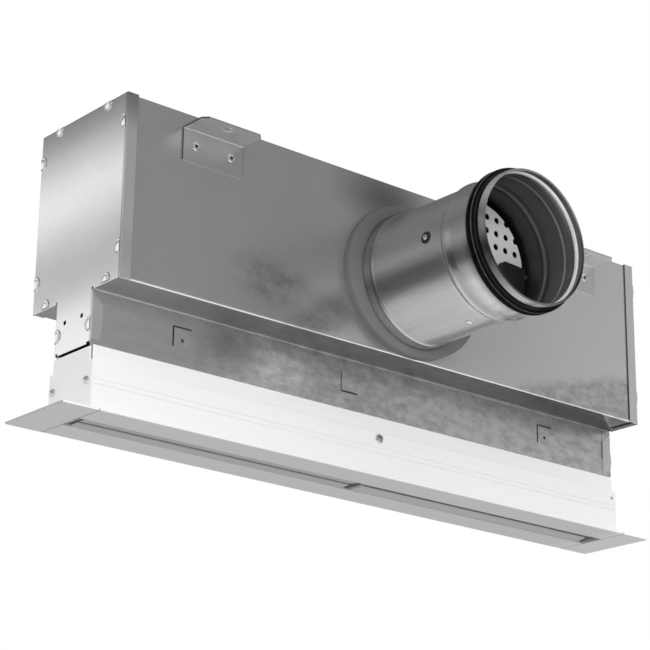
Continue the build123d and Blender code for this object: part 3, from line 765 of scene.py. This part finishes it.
def pipe_inside_finish():
    """Painted shade deep inside and past the groove, painted light near the mouth and low down, and
    painted highlights on the upper wall and on its ridges.
    """
    finish = sheet_finish("pipe inside", 0.19, 0.03, 0.42)
    groove = mouth_y + GROOVE_SETBACK
    crest = mouth_y + BEAD_CREST
    # Painted shade deeper in, painted light near the mouth and low down
    deep = finish.along("Y", mouth_y + 15 * MM, mouth_y + 75 * MM, 1.0, 0.4)
    near = finish.along("Y", mouth_y + 6 * MM, mouth_y + 8 * MM, 1.6, 1.0)
    past = finish.along("Y", mouth_y + 21 * MM, mouth_y + 27 * MM, 1.0, 0.85)
    low = finish.along("Z", spigot_z - 50 * MM, spigot_z, 1.75, 1.0)
    # Painted highlight patch on the upper right wall, and painted highlights along the groove and
    # the bead
    highlight_patch_middle = (spigot_x + 35 * MM, mouth_y + 11 * MM, spigot_z + 45 * MM)
    highlight_patch = finish.spot((highlight_patch_middle, (0.05, 0.0035, 0.045)), 3.2)
    groove_highlight = finish.within(3.0, 0.6 * MM, Y=(groove + 3.4 * MM, groove + 5.2 * MM))
    bead_highlight = finish.within(3.2, 0.8 * MM, Y=(crest, crest + 2.4 * MM))
    painted_light_and_shade = (deep, near, past, low)
    return finish.shade(finish.base, *painted_light_and_shade, highlight_patch, groove_highlight, bead_highlight).material


def disc_finish():
    """Pale sheet with painted shade from the pipe low down."""
    finish = Finish("perforated sheet", roughness=0.42)
    shade = finish.levels("Z", DISC_SHADE_TONES, spigot_z)
    return finish.shade(0.98, finish.grain(2 * MM, 0.94, 1.02), shade).material


def stub_finish():
    """Dull steel with painted shade in the dimple of its end."""
    finish = Finish("dull steel", metallic=0.9, roughness=0.3)
    axis = (spigot_x, shaft_y, spigot_z)
    # Painted shade in the dimple
    dimple = finish.patch(axis, (10, DIMPLE_RADIUS, DIMPLE_RADIUS), (0, radians(DAMPER_ROLL), 0))
    dimple = finish.spread(dimple, 0.1, 0.5, 1.0, 0.05)
    return finish.shade(0.72, finish.grain(1 * MM, 0.85, 1.15), dimple).material


def foam_finish():
    """Dark cellular rubber, painted paler low down and darker at the top as painted light, and
    darker against the pipe.
    """
    finish = Finish("dark cellular rubber", roughness=0.85, specular=0.25)
    cells = finish.noise(1.2 * MM, 4)
    from_axis = finish.reach((spigot_x, collar_y, spigot_z))
    band = finish.spread(from_axis, 65.5 * MM, 66.5 * MM, 0.85, 1.0, True)
    # Painted light: paler low down, darker at the top
    height = finish.along("Z", spigot_z - 60 * MM, spigot_z + 60 * MM, 1.3, 0.72)
    soft = finish.grain(30 * MM, 0.93, 1.07)
    finish.shade(0.15, soft, height, band, finish.spread(cells, 0.3, 0.7, 0.93, 1.07))
    return finish.relief(cells, 0.3, 0.2 * MM).material


def rubber_finish():
    """Black, with a dusty grain and painted highlights on the edges of the two lips and at the
    nose.
    """
    finish = Finish("black rubber", roughness=0.2, specular=0.06)
    dust = finish.spread(finish.noise(5 * MM, 4), 0.35, 0.75, 0.8, 1.4)
    tip_back = GROOVE_SETBACK - GROOVE_DEPTH + LIP_LEAN - LIP_TIP
    tip_highlights = []
    for back, level in ((tip_back, 9), (tip_back - LIP_PITCH, 22), (NOSE_BACK, 5)):
        y = mouth_y + back
        tip_highlights.append(finish.within(level, 0.3 * MM, Y=(y - 0.5 * MM, y + 0.3 * MM)))
    return finish.shade(0.0035, dust, *tip_highlights).material


def black_plastic_finish():
    finish = Finish("black moulded plastic", roughness=0.5, specular=0.35)
    finish.shade(0.016, finish.grain(7 * MM, 0.8, 1.3))
    return finish.relief(finish.noise(0.8 * MM), 0.15, 0.1 * MM).material


def white_paint_finish():
    """White paint on the parts that are seen, with dark joints, painted shade on the tongues, the
    left end, its top edge and the flange's left edge, and painted light on the right end.
    """
    finish = Finish("white powder coat", roughness=0.42, specular=0.3)
    drawn = finish.grain(2 * MM, 0.985, 1.01, 3, (60, 1, 1))
    from_joint = finish.distance("X", PROFILE_END)
    low = finish.along("Z", FLANGE_TOP, FLANGE_TOP + 1 * MM, 1.0, 0.0)
    # The tongues that slide in the neck are unpainted; they are painted near black as painted
    # shade, blackest at the ends
    tongue = finish.along("Z", FRAME_TOP, FRAME_TOP + 0.6 * MM, 0.0, 1.0)
    painted_tongue_shade = finish.only_where(tongue, finish.spread(from_joint, 0.0, 3 * MM, 0.02, 0.08))
    # Painted shade on the left end above the flange
    left_end_shade = finish.along("X", -0.3165, -0.3125, 0.8, 1.0)
    left_end_shade = finish.only_where(finish.along("Z", 0.0018, 0.0024, 0.0, 1.0), left_end_shade)
    # Shadow of the neck on the top edge of the left end piece
    top_edge = finish.within(0.04, 0.25 * MM, **END_TOP_EDGE)
    # Dark joints across the flange, and painted shade on its left edge
    joint = finish.only_where(low, finish.spread(from_joint, 0.35 * MM, 0.75 * MM, 0.4, 1.0))
    edge = finish.along("X", -FLANGE_END, 0.7 * MM - FLANGE_END, 0.5, 1.0)
    # Open joint at the top of the profile's left end, and painted light on the paler right end
    gap = finish.within(0.3, **PROFILE_GAP)
    right_end_light = finish.only_where(low, finish.along("X", 0.28, 0.32, 1.0, 1.13))
    finish.shade(0.85, drawn, painted_tongue_shade, left_end_shade, top_edge, joint, edge, gap, right_end_light)
    return finish.relief(finish.noise(0.9 * MM, 2), 0.06, 0.1 * MM).material


# Pieces


def spigot_pipe():
    """Pipe rolled from sheet: root flange, shoulder, bead, gasket groove and hemmed rim."""
    root_end = -(pipe_high.y - mouth_y)
    root_face = root_end + SPIGOT_WALL
    groove = -GROOVE_SETBACK
    groove_radius = PIPE_RADIUS - GROOVE_DEPTH
    nose_radius = PIPE_RADIUS - NOSE_STEP
    bead_arc = []
    for step in range(-8, 9):
        run = BEAD_REAR_RUN if step < 0 else BEAD_FRONT_RUN
        rise = BEAD_HEIGHT * (1 + cos(pi * step / 8)) / 2
        bead_arc.append((PIPE_RADIUS + rise, -BEAD_CREST + run * step / 8))
    slope = GROOVE_DEPTH * 0.8
    section = [
        (ROOT_RADIUS + ROOT_FLANGE, root_end),
        (ROOT_RADIUS + 1.2 * MM, root_end),
        (ROOT_RADIUS + 0.3 * MM, root_end + 0.3 * MM),
        (ROOT_RADIUS, root_end + 1.2 * MM),
        (ROOT_RADIUS, root_face + ROOT_LENGTH),
        (ROOT_RADIUS - 0.4 * MM, root_face + ROOT_LENGTH + SHOULDER_RUN * 0.35),
        (PIPE_RADIUS + 0.2 * MM, root_face + ROOT_LENGTH + SHOULDER_RUN * 0.85),
        (PIPE_RADIUS, root_face + ROOT_LENGTH + SHOULDER_RUN * 1.4),
        *bead_arc,
        (PIPE_RADIUS, groove),
        (groove_radius + 0.3 * MM, groove + slope * 0.8),
        (groove_radius, groove + slope * 1.3),
        (groove_radius, -HIGHLIGHT_BAND_END),
        (groove_radius, groove + GROOVE_LENGTH - slope * 1.3),
        (groove_radius + 0.3 * MM, groove + GROOVE_LENGTH - slope * 0.8),
        (nose_radius, groove + GROOVE_LENGTH),
        *arc(nose_radius - RIM_ROUND, -RIM_ROUND, RIM_ROUND, 0, 90, 4),
        (nose_radius - RIM_TURN, 0),
        (nose_radius - RIM_TURN, -RIM_HEM),
    ]
    piece = turned("rolled_pipe", section, TO_FRONT, PIPE_SIDES)
    for finish in ("galvanised_pipe", "pipe inside", "painted_highlight"):
        piece.data.materials.append(finishes[finish])
    # The wall grows inwards, and its faces take the second finish
    wall = {"thickness": SPIGOT_WALL, "offset": -1, "material_offset": 1}
    apply_modifier(piece, "wall", "SOLIDIFY", **wall)
    # Inside, near the mouth, the ridge under the gasket groove takes the painted highlight
    for face in piece.data.polygons:
        if face.material_index == 1 and HIGHLIGHT_BAND_START < face.center.y < HIGHLIGHT_BAND_END:
            face.material_index = 2
    smooth(piece, 35)
    return moved(piece, (spigot_x, mouth_y, spigot_z))


def lip_gasket():
    """Rubber ring in the groove with two lips that lean back."""
    groove = -GROOVE_SETBACK
    seat = PIPE_RADIUS - GROOVE_DEPTH + 0.1 * MM
    inner = groove + GROOVE_DEPTH
    outer = groove + GROOVE_LENGTH - GROOVE_DEPTH * 0.4
    root = PIPE_RADIUS + LIP_ROOT
    section = [(seat, inner), (seat, outer), (PIPE_RADIUS - 0.4 * MM, outer)]
    section += [(root, outer - GASKET_NOSE), (root, inner + LIP_PITCH + 1.5 * MM)]
    for start in (inner + LIP_PITCH, inner):
        tip = LIP_RADIUS - LIP_TIP
        section += [(root + 0.8 * MM, start + 0.5 * MM)]
        section += arc(tip, start - LIP_LEAN + LIP_TIP, LIP_TIP, 70, -90, 5)
        section += [(root + 0.2 * MM, start - 0.6 * MM), (root, start - 1.0 * MM)]
        section += [(root, start - 3.0 * MM)] if start > inner else [(seat, inner)]
    piece = turned("double_lip_gasket", section, TO_FRONT, PIPE_SIDES)
    smooth(piece, 50)
    return moved(piece, (spigot_x, mouth_y, spigot_z))


def spigot_collar():
    """Flat oval ring of soft cellular rubber with a rounded outer edge."""
    thickness = collar_high.y - collar_low.y
    half_width = (collar_high.x - collar_low.x) / 2
    half_height = (collar_high.z - collar_low.z) / 2
    rims = (
        (COLLAR_ROUND, 0),
        (COLLAR_ROUND * 0.3, -COLLAR_ROUND * 0.3),
        (0, -COLLAR_ROUND),
        (0, -thickness),
    )
    back = (COLLAR_BORE, COLLAR_BORE, -thickness)
    rings = [back, (COLLAR_BORE, COLLAR_BORE, 0)]
    rings += [(half_width - inset, half_height - inset, along) for inset, along in rims]
    piece = pulled_rings([*rings, back], PIPE_SIDES)
    piece.rotation_euler = TO_FRONT
    settle(piece, "oval_collar")
    smooth(piece, 50)
    return moved(piece, (spigot_x, collar_y, spigot_z))


def rolled(piece, place):
    """Turn a damper piece with the pipe and put it in its place."""
    take(piece)
    piece.rotation_euler = (0, radians(DAMPER_ROLL), 0)
    piece.location = place
    return settle(piece, piece.name)


def damper_blade():
    """Disc punched from perforated sheet."""
    clear_selection()
    bpy.ops.mesh.primitive_cylinder_add(
        vertices=PIPE_SIDES, radius=DAMPER_RADIUS, depth=DAMPER_SHEET, rotation=TO_FRONT
    )
    disc = settle(bpy.context.object, "punched_disc")
    bpy.ops.mesh.primitive_cylinder_add(
        vertices=HOLE_SIDES, radius=HOLE_RADIUS, depth=4 * DAMPER_SHEET, rotation=TO_FRONT
    )
    punch = settle(bpy.context.object, "punch")
    places = []
    columns = 2 * int(DAMPER_RADIUS / HOLE_PITCH_X)
    for column in range(columns + 1):
        x = (column - columns / 2) * HOLE_PITCH_X + HOLE_SHIFT
        for row in range(HOLE_ROWS):
            z = HOLE_FIRST_ROW + row * HOLE_PITCH_Z
            reach = (x * x + z * z) ** 0.5
            whole = reach < DAMPER_RADIUS - HOLE_RADIUS - HOLE_BORDER
            scallop = abs(reach - DAMPER_RADIUS) < HOLE_RADIUS - HOLE_BORDER
            if whole or scallop:
                places += [(x, 0, z), (x, 0, -z)]
    cut_away(disc, joined(copies(punch, places), "punches"))
    soften(disc, 0.12 * MM, 1, 60)
    smooth(disc, 30)
    return rolled(disc, (spigot_x, (blade_low.y + blade_high.y) / 2, spigot_z))


def rivet_head(name, turn, radius=RIVET_HEAD, rise=RIVET_RISE, bore=RIVET_BORE):
    """Blind rivet: low dome with the hole that the mandrel leaves, painted black as painted shade.
    """
    section = [
        (ON_AXIS, 0.1 * MM),
        (bore, 0.1 * MM),
        (bore, rise * 0.82),
        (bore + 0.25 * MM, rise),
        *scaled(radius, rise, (0.62, 0.96), (0.85, 0.7), (0.97, 0.35), (1, 0)),
        (radius, -0.3 * MM),
    ]
    piece = turned(name, section, (0, 0, 0), RIVET_SIDES)
    for finish in ("plated_steel", "black_plastic"):
        piece.data.materials.append(finishes[finish])
    # The hole takes the black finish as painted shade
    for face in piece.data.polygons:
        face.material_index = int(face.center.xy.length < bore * 1.01)
    piece.rotation_euler = turn
    settle(piece, name)
    smooth(piece, 40)
    return piece


def hanger_rivets():
    """The eight blind rivets of the four brackets."""
    front = rivet_head("front rivet", TO_FRONT)
    rear = rivet_head("rear rivet", TO_REAR)
    height = hanger_high.z - RIVET_DROP
    out = hanger_high.y - HANGER_SHEET
    middles = (hanger_low.x + hanger_high.x) / 2, (right_hanger_low.x + right_hanger_high.x) / 2
    places = [(x + offset, out, height) for x in middles for offset in (-RIVET_X, RIVET_X)]
    rivets = copies(front, places) + copies(rear, [(x, -y, z) for x, y, z in places])
    return joined(rivets, "blind_rivets")


def stop_rivet():
    """Small rivet under the pipe that stops the damper."""
    outward = (cos(radians(STOP_RIVET_ANGLE)), sin(radians(STOP_RIVET_ANGLE)))
    middle_y = (stop_low.y + stop_high.y) / 2
    turn = (0, radians(90 - STOP_RIVET_ANGLE), 0)
    head = rivet_head("rivet head", turn, STOP_RIVET_HEAD, 1.2 * MM, 0.8 * MM)
    shank_section = [
        (ON_AXIS, 0),
        (STOP_RIVET_SHANK, 0),
        (STOP_RIVET_SHANK, 0.5 * MM - STOP_RIVET_LENGTH),
        (ON_AXIS, -STOP_RIVET_LENGTH),
    ]
    shank = turned("rivet shank", shank_section, turn, RIVET_SIDES)
    piece = joined([head, shank], "stop_rivet")
    smooth(piece, 40)
    place = (spigot_x + PIPE_RADIUS * outward[0], middle_y, spigot_z + PIPE_RADIUS * outward[1])
    return moved(piece, place)


def screw_head(name, turn, radius, rise):
    """Pan head with a cross recess."""
    section = [
        (ON_AXIS, rise * 0.9),
        *scaled(radius, rise, (0.5, 1), (0.8, 0.85), (0.96, 0.5), (1, 0.1), (1, 0)),
        (radius * 0.4, -0.2 * MM),
        (radius * 0.4, -SCREW_SHANK),
        (ON_AXIS, -SCREW_SHANK),
    ]
    piece = turned(name, section, (0, 0, 0), SCREW_SIDES)
    slots = []
    for angle in (radians(45), radians(135)):
        bpy.ops.mesh.primitive_cube_add(size=1, location=(0, 0, rise), rotation=(0, 0, angle))
        slot = bpy.context.object
        slot.scale = (radius * 1.05, radius * 0.26, rise * 1.5)
        slots.append(settle(slot, "recess"))
    for slot in slots:
        cut_away(piece, slot)
    piece.rotation_euler = turn
    settle(piece, name)
    smooth(piece, 35)
    return piece


def end_screws():
    """Two screws on each end piece of the frame."""
    radius = (screw_high.z - screw_low.z) / 2
    middle_z = (screw_high.z + screw_low.z) / 2
    half_spread = (screw_high.y - screw_low.y) / 2 - radius
    seat = screw_high.x - END_SCREW_RISE
    screws = []
    for side, turn in ((-1, TO_LEFT), (1, TO_RIGHT)):
        model = screw_head("end screw", turn, radius, END_SCREW_RISE)
        screws += copies(model, [(side * seat, y, middle_z) for y in (-half_spread, half_spread)])
    return joined(screws, "end_cross_screws")


def centre_screws():
    """One screw at mid-length on each long side."""
    radius = (middle_screw_high.z - middle_screw_low.z) / 2
    middle_z = (middle_screw_high.z + middle_screw_low.z) / 2
    seat = middle_screw_high.y - CENTRE_SCREW_RISE
    screws = []
    for side, turn in ((-1, TO_FRONT), (1, TO_REAR)):
        model = screw_head("centre screw", turn, radius, CENTRE_SCREW_RISE)
        screws.append(moved(model, (0, side * seat, middle_z)))
    return joined(screws, "centre_cross_screws")


def damper_shaft():
    """Two stub shafts with domed, dimpled ends, gripping the edge of the disc."""
    radius = (shaft_high.y - shaft_low.y) / 2
    half = (shaft_high.x - shaft_low.x) / 2
    inner_end = DAMPER_RADIUS - SHAFT_GRIP
    section = [
        (ON_AXIS, half - 0.5 * MM),
        (radius * 0.35, half - 0.5 * MM),
        (radius * 0.5, half),
        (radius * 0.8, half - 0.15 * MM),
        (radius, half - 0.8 * MM),
        (radius, inner_end + 0.5 * MM),
        (radius - 0.5 * MM, inner_end),
        (ON_AXIS, inner_end),
    ]
    stubs = []
    for turn in (TO_LEFT, TO_RIGHT):
        stub = turned("stub", section, turn, SCREW_SIDES)
        smooth(stub, 40)
        stubs.append(stub)
    return rolled(joined(stubs, "stub_shafts"), (spigot_x, shaft_y, spigot_z))


def damper_bushes():
    """Two flanged bushes in the pipe wall."""
    radius = (bush_high.y - bush_low.y) / 2
    wall = BUSH_BORE + 1.3 * MM
    section = [
        (BUSH_BORE, -BUSH_DEPTH),
        (BUSH_BORE, BUSH_RISE * 0.6),
        (BUSH_BORE + 0.5 * MM, BUSH_RISE),
        (radius * 0.85, BUSH_RISE),
        (radius, BUSH_RISE * 0.4),
        (radius, -0.6 * MM),
        (wall, -0.6 * MM),
        (wall, -BUSH_DEPTH),
        (BUSH_BORE, -BUSH_DEPTH),
    ]
    bushes = []
    for side, turn in ((-1, TO_LEFT), (1, TO_RIGHT)):
        model = turned("bush", section, turn, SCREW_SIDES)
        smooth(model, 40)
        bushes.append(moved(model, (side * PIPE_RADIUS, 0, 0)))
    return rolled(joined(bushes, "flanged_bushes"), (spigot_x, shaft_y, spigot_z))


def clinch_mark():
    """Pressed round dome with a ring round it, cut off straight near the sheet's edge."""
    dome = ((0.3, 0.96), (0.52, 0.82), (0.68, 0.6))
    ring = ((0.74, 0.56), (0.82, 0.8), (0.9, 0.8), (0.97, 0.4), (1, 0))
    section = [
        (ON_AXIS, CLINCH_RISE),
        *scaled(CLINCH_RADIUS, CLINCH_RISE, *dome, *ring),
        (CLINCH_RADIUS * 0.5, -0.1 * MM),
        (ON_AXIS, -0.1 * MM),
    ]
    mark = turned("clinch mark", section, TO_LEFT, CLINCH_SIDES)
    take(mark)
    edit_all()
    bpy.ops.mesh.bisect(
        plane_co=(0, 0, CLINCH_CUT), plane_no=(0, 0, 1), use_fill=True, clear_outer=True
    )
    bpy.ops.object.mode_set(mode="OBJECT")
    smooth(mark, 50)
    return mark


def clinch_marks():
    """Twenty half-round marks along the edges of the two end plates."""
    half_depth = (left_plate_high.y - left_plate_low.y) / 2
    side = half_depth - CLINCH_MARGIN
    neck_side = PLATE_NECK_HALF - CLINCH_MARGIN
    places = (
        (CLINCH_TOP_Y, left_plate_high.z - CLINCH_MARGIN, 0),
        (side, CLINCH_UPPER_Z, 90),
        (side, CLINCH_LOWER_Z, 90),
        (CLINCH_LEDGE_Y, PLATE_LEDGE + CLINCH_MARGIN, 180),
        (neck_side, CLINCH_NECK_Z, 90),
    )
    marks = []
    for end in (-1, 1):
        model = clinch_mark()
        if end > 0:
            model.rotation_euler = (0, 0, pi)
            settle(model, "right clinch mark")
        for mirror in (-1, 1):
            for y, z, turn in places:
                mark = copy_at(model, (end * PLATE_OUTSIDE, mirror * y, z))
                mark.rotation_euler = (radians(-turn * mirror), 0, 0)
                marks.append(mark)
        bpy.data.objects.remove(model)
    return joined(marks, "clinch_marks")


def damper_block():
    """Plastic block on the disc, with rounded edges."""
    clear_selection()
    middle = Vector((BLOCK_LEFT + BLOCK_WIDTH / 2, 0, BLOCK_BOTTOM + BLOCK_HEIGHT / 2))
    depth = block_high.y - block_low.y
    bpy.ops.mesh.primitive_cube_add(size=1, location=middle)
    block = bpy.context.object
    block.scale = (BLOCK_WIDTH, depth, BLOCK_HEIGHT)
    settle(block, "moulded_block")
    soften(block, 1.5 * MM)
    smooth(block, 40)
    return rolled(block, (spigot_x, (block_low.y + block_high.y) / 2, spigot_z))


# Studio


def studio_world():
    """White for the camera, plain pale light for matt surfaces, soft bands in reflections."""
    world = bpy.data.worlds.new("studio")
    bpy.context.scene.world = world
    world.use_nodes = True
    sky = Patterns(world.node_tree)
    sky.nodes.clear()
    direction = sky.node("TexCoord").outputs["Generated"]
    path = sky.node("LightPath")

    def lobe(azimuth, elevation, inner, outer, strength):
        """Soft round light or shade about one direction; azimuth from +X to +Y."""
        level = cos(radians(elevation))
        dot = sky.node("VectorMath")
        dot.operation = "DOT_PRODUCT"
        dot.inputs[1].default_value = (
            cos(radians(azimuth)) * level,
            sin(radians(azimuth)) * level,
            sin(radians(elevation)),
        )
        sky.links.new(direction, dot.inputs[0])
        edge, core = cos(radians(outer)), cos(radians(inner))
        return sky.spread(dot.outputs["Value"], edge, core, 0.0, strength, True)

    def background(colour=(1, 1, 1, 1), strength=1.0):
        return sky.node("Background", Color=colour, Strength=strength).outputs["Background"]

    def for_rays(kind, others, light):
        """One light for rays of a kind and another for all other rays."""
        mix = sky.node("MixShader")
        for socket, shader in zip(mix.inputs, (path.outputs[kind], others, light)):
            sky.links.new(shader, socket)
        return mix.outputs["Shader"]

    height = sky.times(sky.part(direction, "Z"), 0.5)
    height = sky.math("ADD", height, 0.5)
    stops = [((sin(radians(elevation)) + 1) / 2, level) for elevation, level in STUDIO_BANDS]
    studio = sky.math("ADD", sky.ramp(height, stops, "EASE"), lobe(*BACK_GLOW))
    studio = sky.times(studio, sky.math("SUBTRACT", 1.0, lobe(*FRONT_SHADE)))

    plain = background(strength=AMBIENT)
    seen = for_rays("Is Glossy Ray", plain, background(studio))
    sky.node("OutputWorld", Surface=for_rays("Is Camera Ray", seen, background()))


def key_light():
    """Large soft lamp to the left of the camera and a little above the box."""
    towards = Vector(KEY_DIRECTION).normalized()
    lamp = bpy.data.lights.new("key light", "AREA")
    lamp.shape = "DISK"
    lamp.size = KEY_SIZE
    lamp.energy = KEY_POWER
    key = bpy.data.objects.new("key light", lamp)
    key.location = towards * KEY_DISTANCE
    key.rotation_euler = towards.to_track_quat("Z", "Y").to_euler()
    bpy.context.scene.collection.objects.link(key)
    key.visible_glossy = False


def pale_floor():
    """Plain pale floor far below the ceiling part; it takes shadows and stays out of mirrors."""
    clear_selection()
    bpy.ops.mesh.primitive_plane_add(size=FLOOR_SIZE, location=(0, 0, FLOOR_Z))
    floor = settle(bpy.context.object, "floor")
    paint = Finish("pale floor", roughness=0.8, grey=FLOOR_GREY, specular=0.1)
    floor.data.materials.append(paint.material)
    floor.visible_glossy = False


def photo_camera():
    """Camera at the photograph's viewing angle."""
    lens = bpy.data.cameras.new("photo camera")
    lens.sensor_width = CAMERA_SENSOR
    lens.lens = CAMERA_LENS
    lens.clip_end = 50
    camera = bpy.data.objects.new("photo camera", lens)
    bpy.context.scene.collection.objects.link(camera)
    look = Euler((radians(90 - CAMERA_ELEVATION), 0, radians(CAMERA_AZIMUTH))).to_matrix()
    roll = Matrix.Rotation(radians(CAMERA_ROLL), 3, "Z")
    camera.location = CAMERA_PLACE
    camera.rotation_euler = (look @ roll).to_euler()
    bpy.context.scene.camera = camera


# Dressing


def dress_nodes():
    """Give every CAD node the finish of its slot, or one of its own."""
    own = {"front_shell": "front shell"}
    for side in ("left", "right"):
        own[side + "_end_plate"] = "end plate"
        own["front_" + side + "_hanger"] = own["rear_" + side + "_hanger"] = "bracket"
    slots = {part["node"]: part["material_slot"] for part in frame["record"]["subparts"]}
    for name, node in frame["nodes"].items():
        node.data.materials.clear()
        node.data.materials.append(finishes[own.get(name, slots[name])])


finishes = {
    "front shell": front_shell_finish(),
    "end plate": end_plate_finish(),
    "galvanised_sheet": bare_sheet_finish(),
    "bracket": bracket_finish(),
    "galvanised_pipe": pipe_finish(),
    "pipe inside": pipe_inside_finish(),
    "painted_highlight": painted_highlight_finish(),
    "perforated_sheet": disc_finish(),
    "plated_steel": plain_finish("plated steel", 0.78, 0.9, 0.2, 1.5 * MM, 0.9, 1.08),
    "clinch": plain_finish("pressed sheet", 0.72, 0.9, 0.17, 2 * MM, 0.96, 1.04),
    "stub": stub_finish(),
    "collar_foam": foam_finish(),
    "gasket_rubber": rubber_finish(),
    "black_plastic": black_plastic_finish(),
    "grey_plastic": plain_finish("grey moulded plastic", 0.34, 0.0, 0.5, 9 * MM, 0.95, 1.05),
    "white_paint": white_paint_finish(),
    "leaf_paint": plain_finish("light grey coat", 0.6, 0.0, 0.4, 2 * MM, 0.96, 1.03, 3, (60, 1, 1)),
    "raw_aluminium": plain_finish(
        "mill aluminium", 0.76, 0.9, 0.38, 2 * MM, 0.93, 1.05, 3, (1, 40, 1)
    ),
}
dress_nodes()

mount_piece(spigot_pipe(), "plenum", "galvanised_pipe", "spigot_pipe")
mount_piece(lip_gasket(), "plenum", "gasket_rubber", "lip_gasket")
mount_piece(spigot_collar(), "plenum", "collar_foam", "spigot_collar")
mount_piece(damper_blade(), "damper", "perforated_sheet", "damper_blade")
mount_piece(damper_shaft(), "damper", "plated_steel", "damper_shaft", finish="stub")
mount_piece(damper_bushes(), "plenum", "black_plastic", "damper_bushes")
mount_piece(damper_block(), "damper", "black_plastic", "damper_block")
mount_piece(hanger_rivets(), "plenum", "plated_steel", "hanger_rivets")
mount_piece(end_screws(), "grille_frame", "plated_steel", "end_screws")
mount_piece(centre_screws(), "grille_frame", "plated_steel", "centre_screws")
mount_piece(stop_rivet(), "plenum", "plated_steel", "damper_stop_rivet")
mount_piece(clinch_marks(), "plenum", "galvanised_sheet", finish="clinch")

studio_world()
key_light()
pale_floor()
photo_camera()
bpy.context.scene.view_settings.view_transform = "Standard"
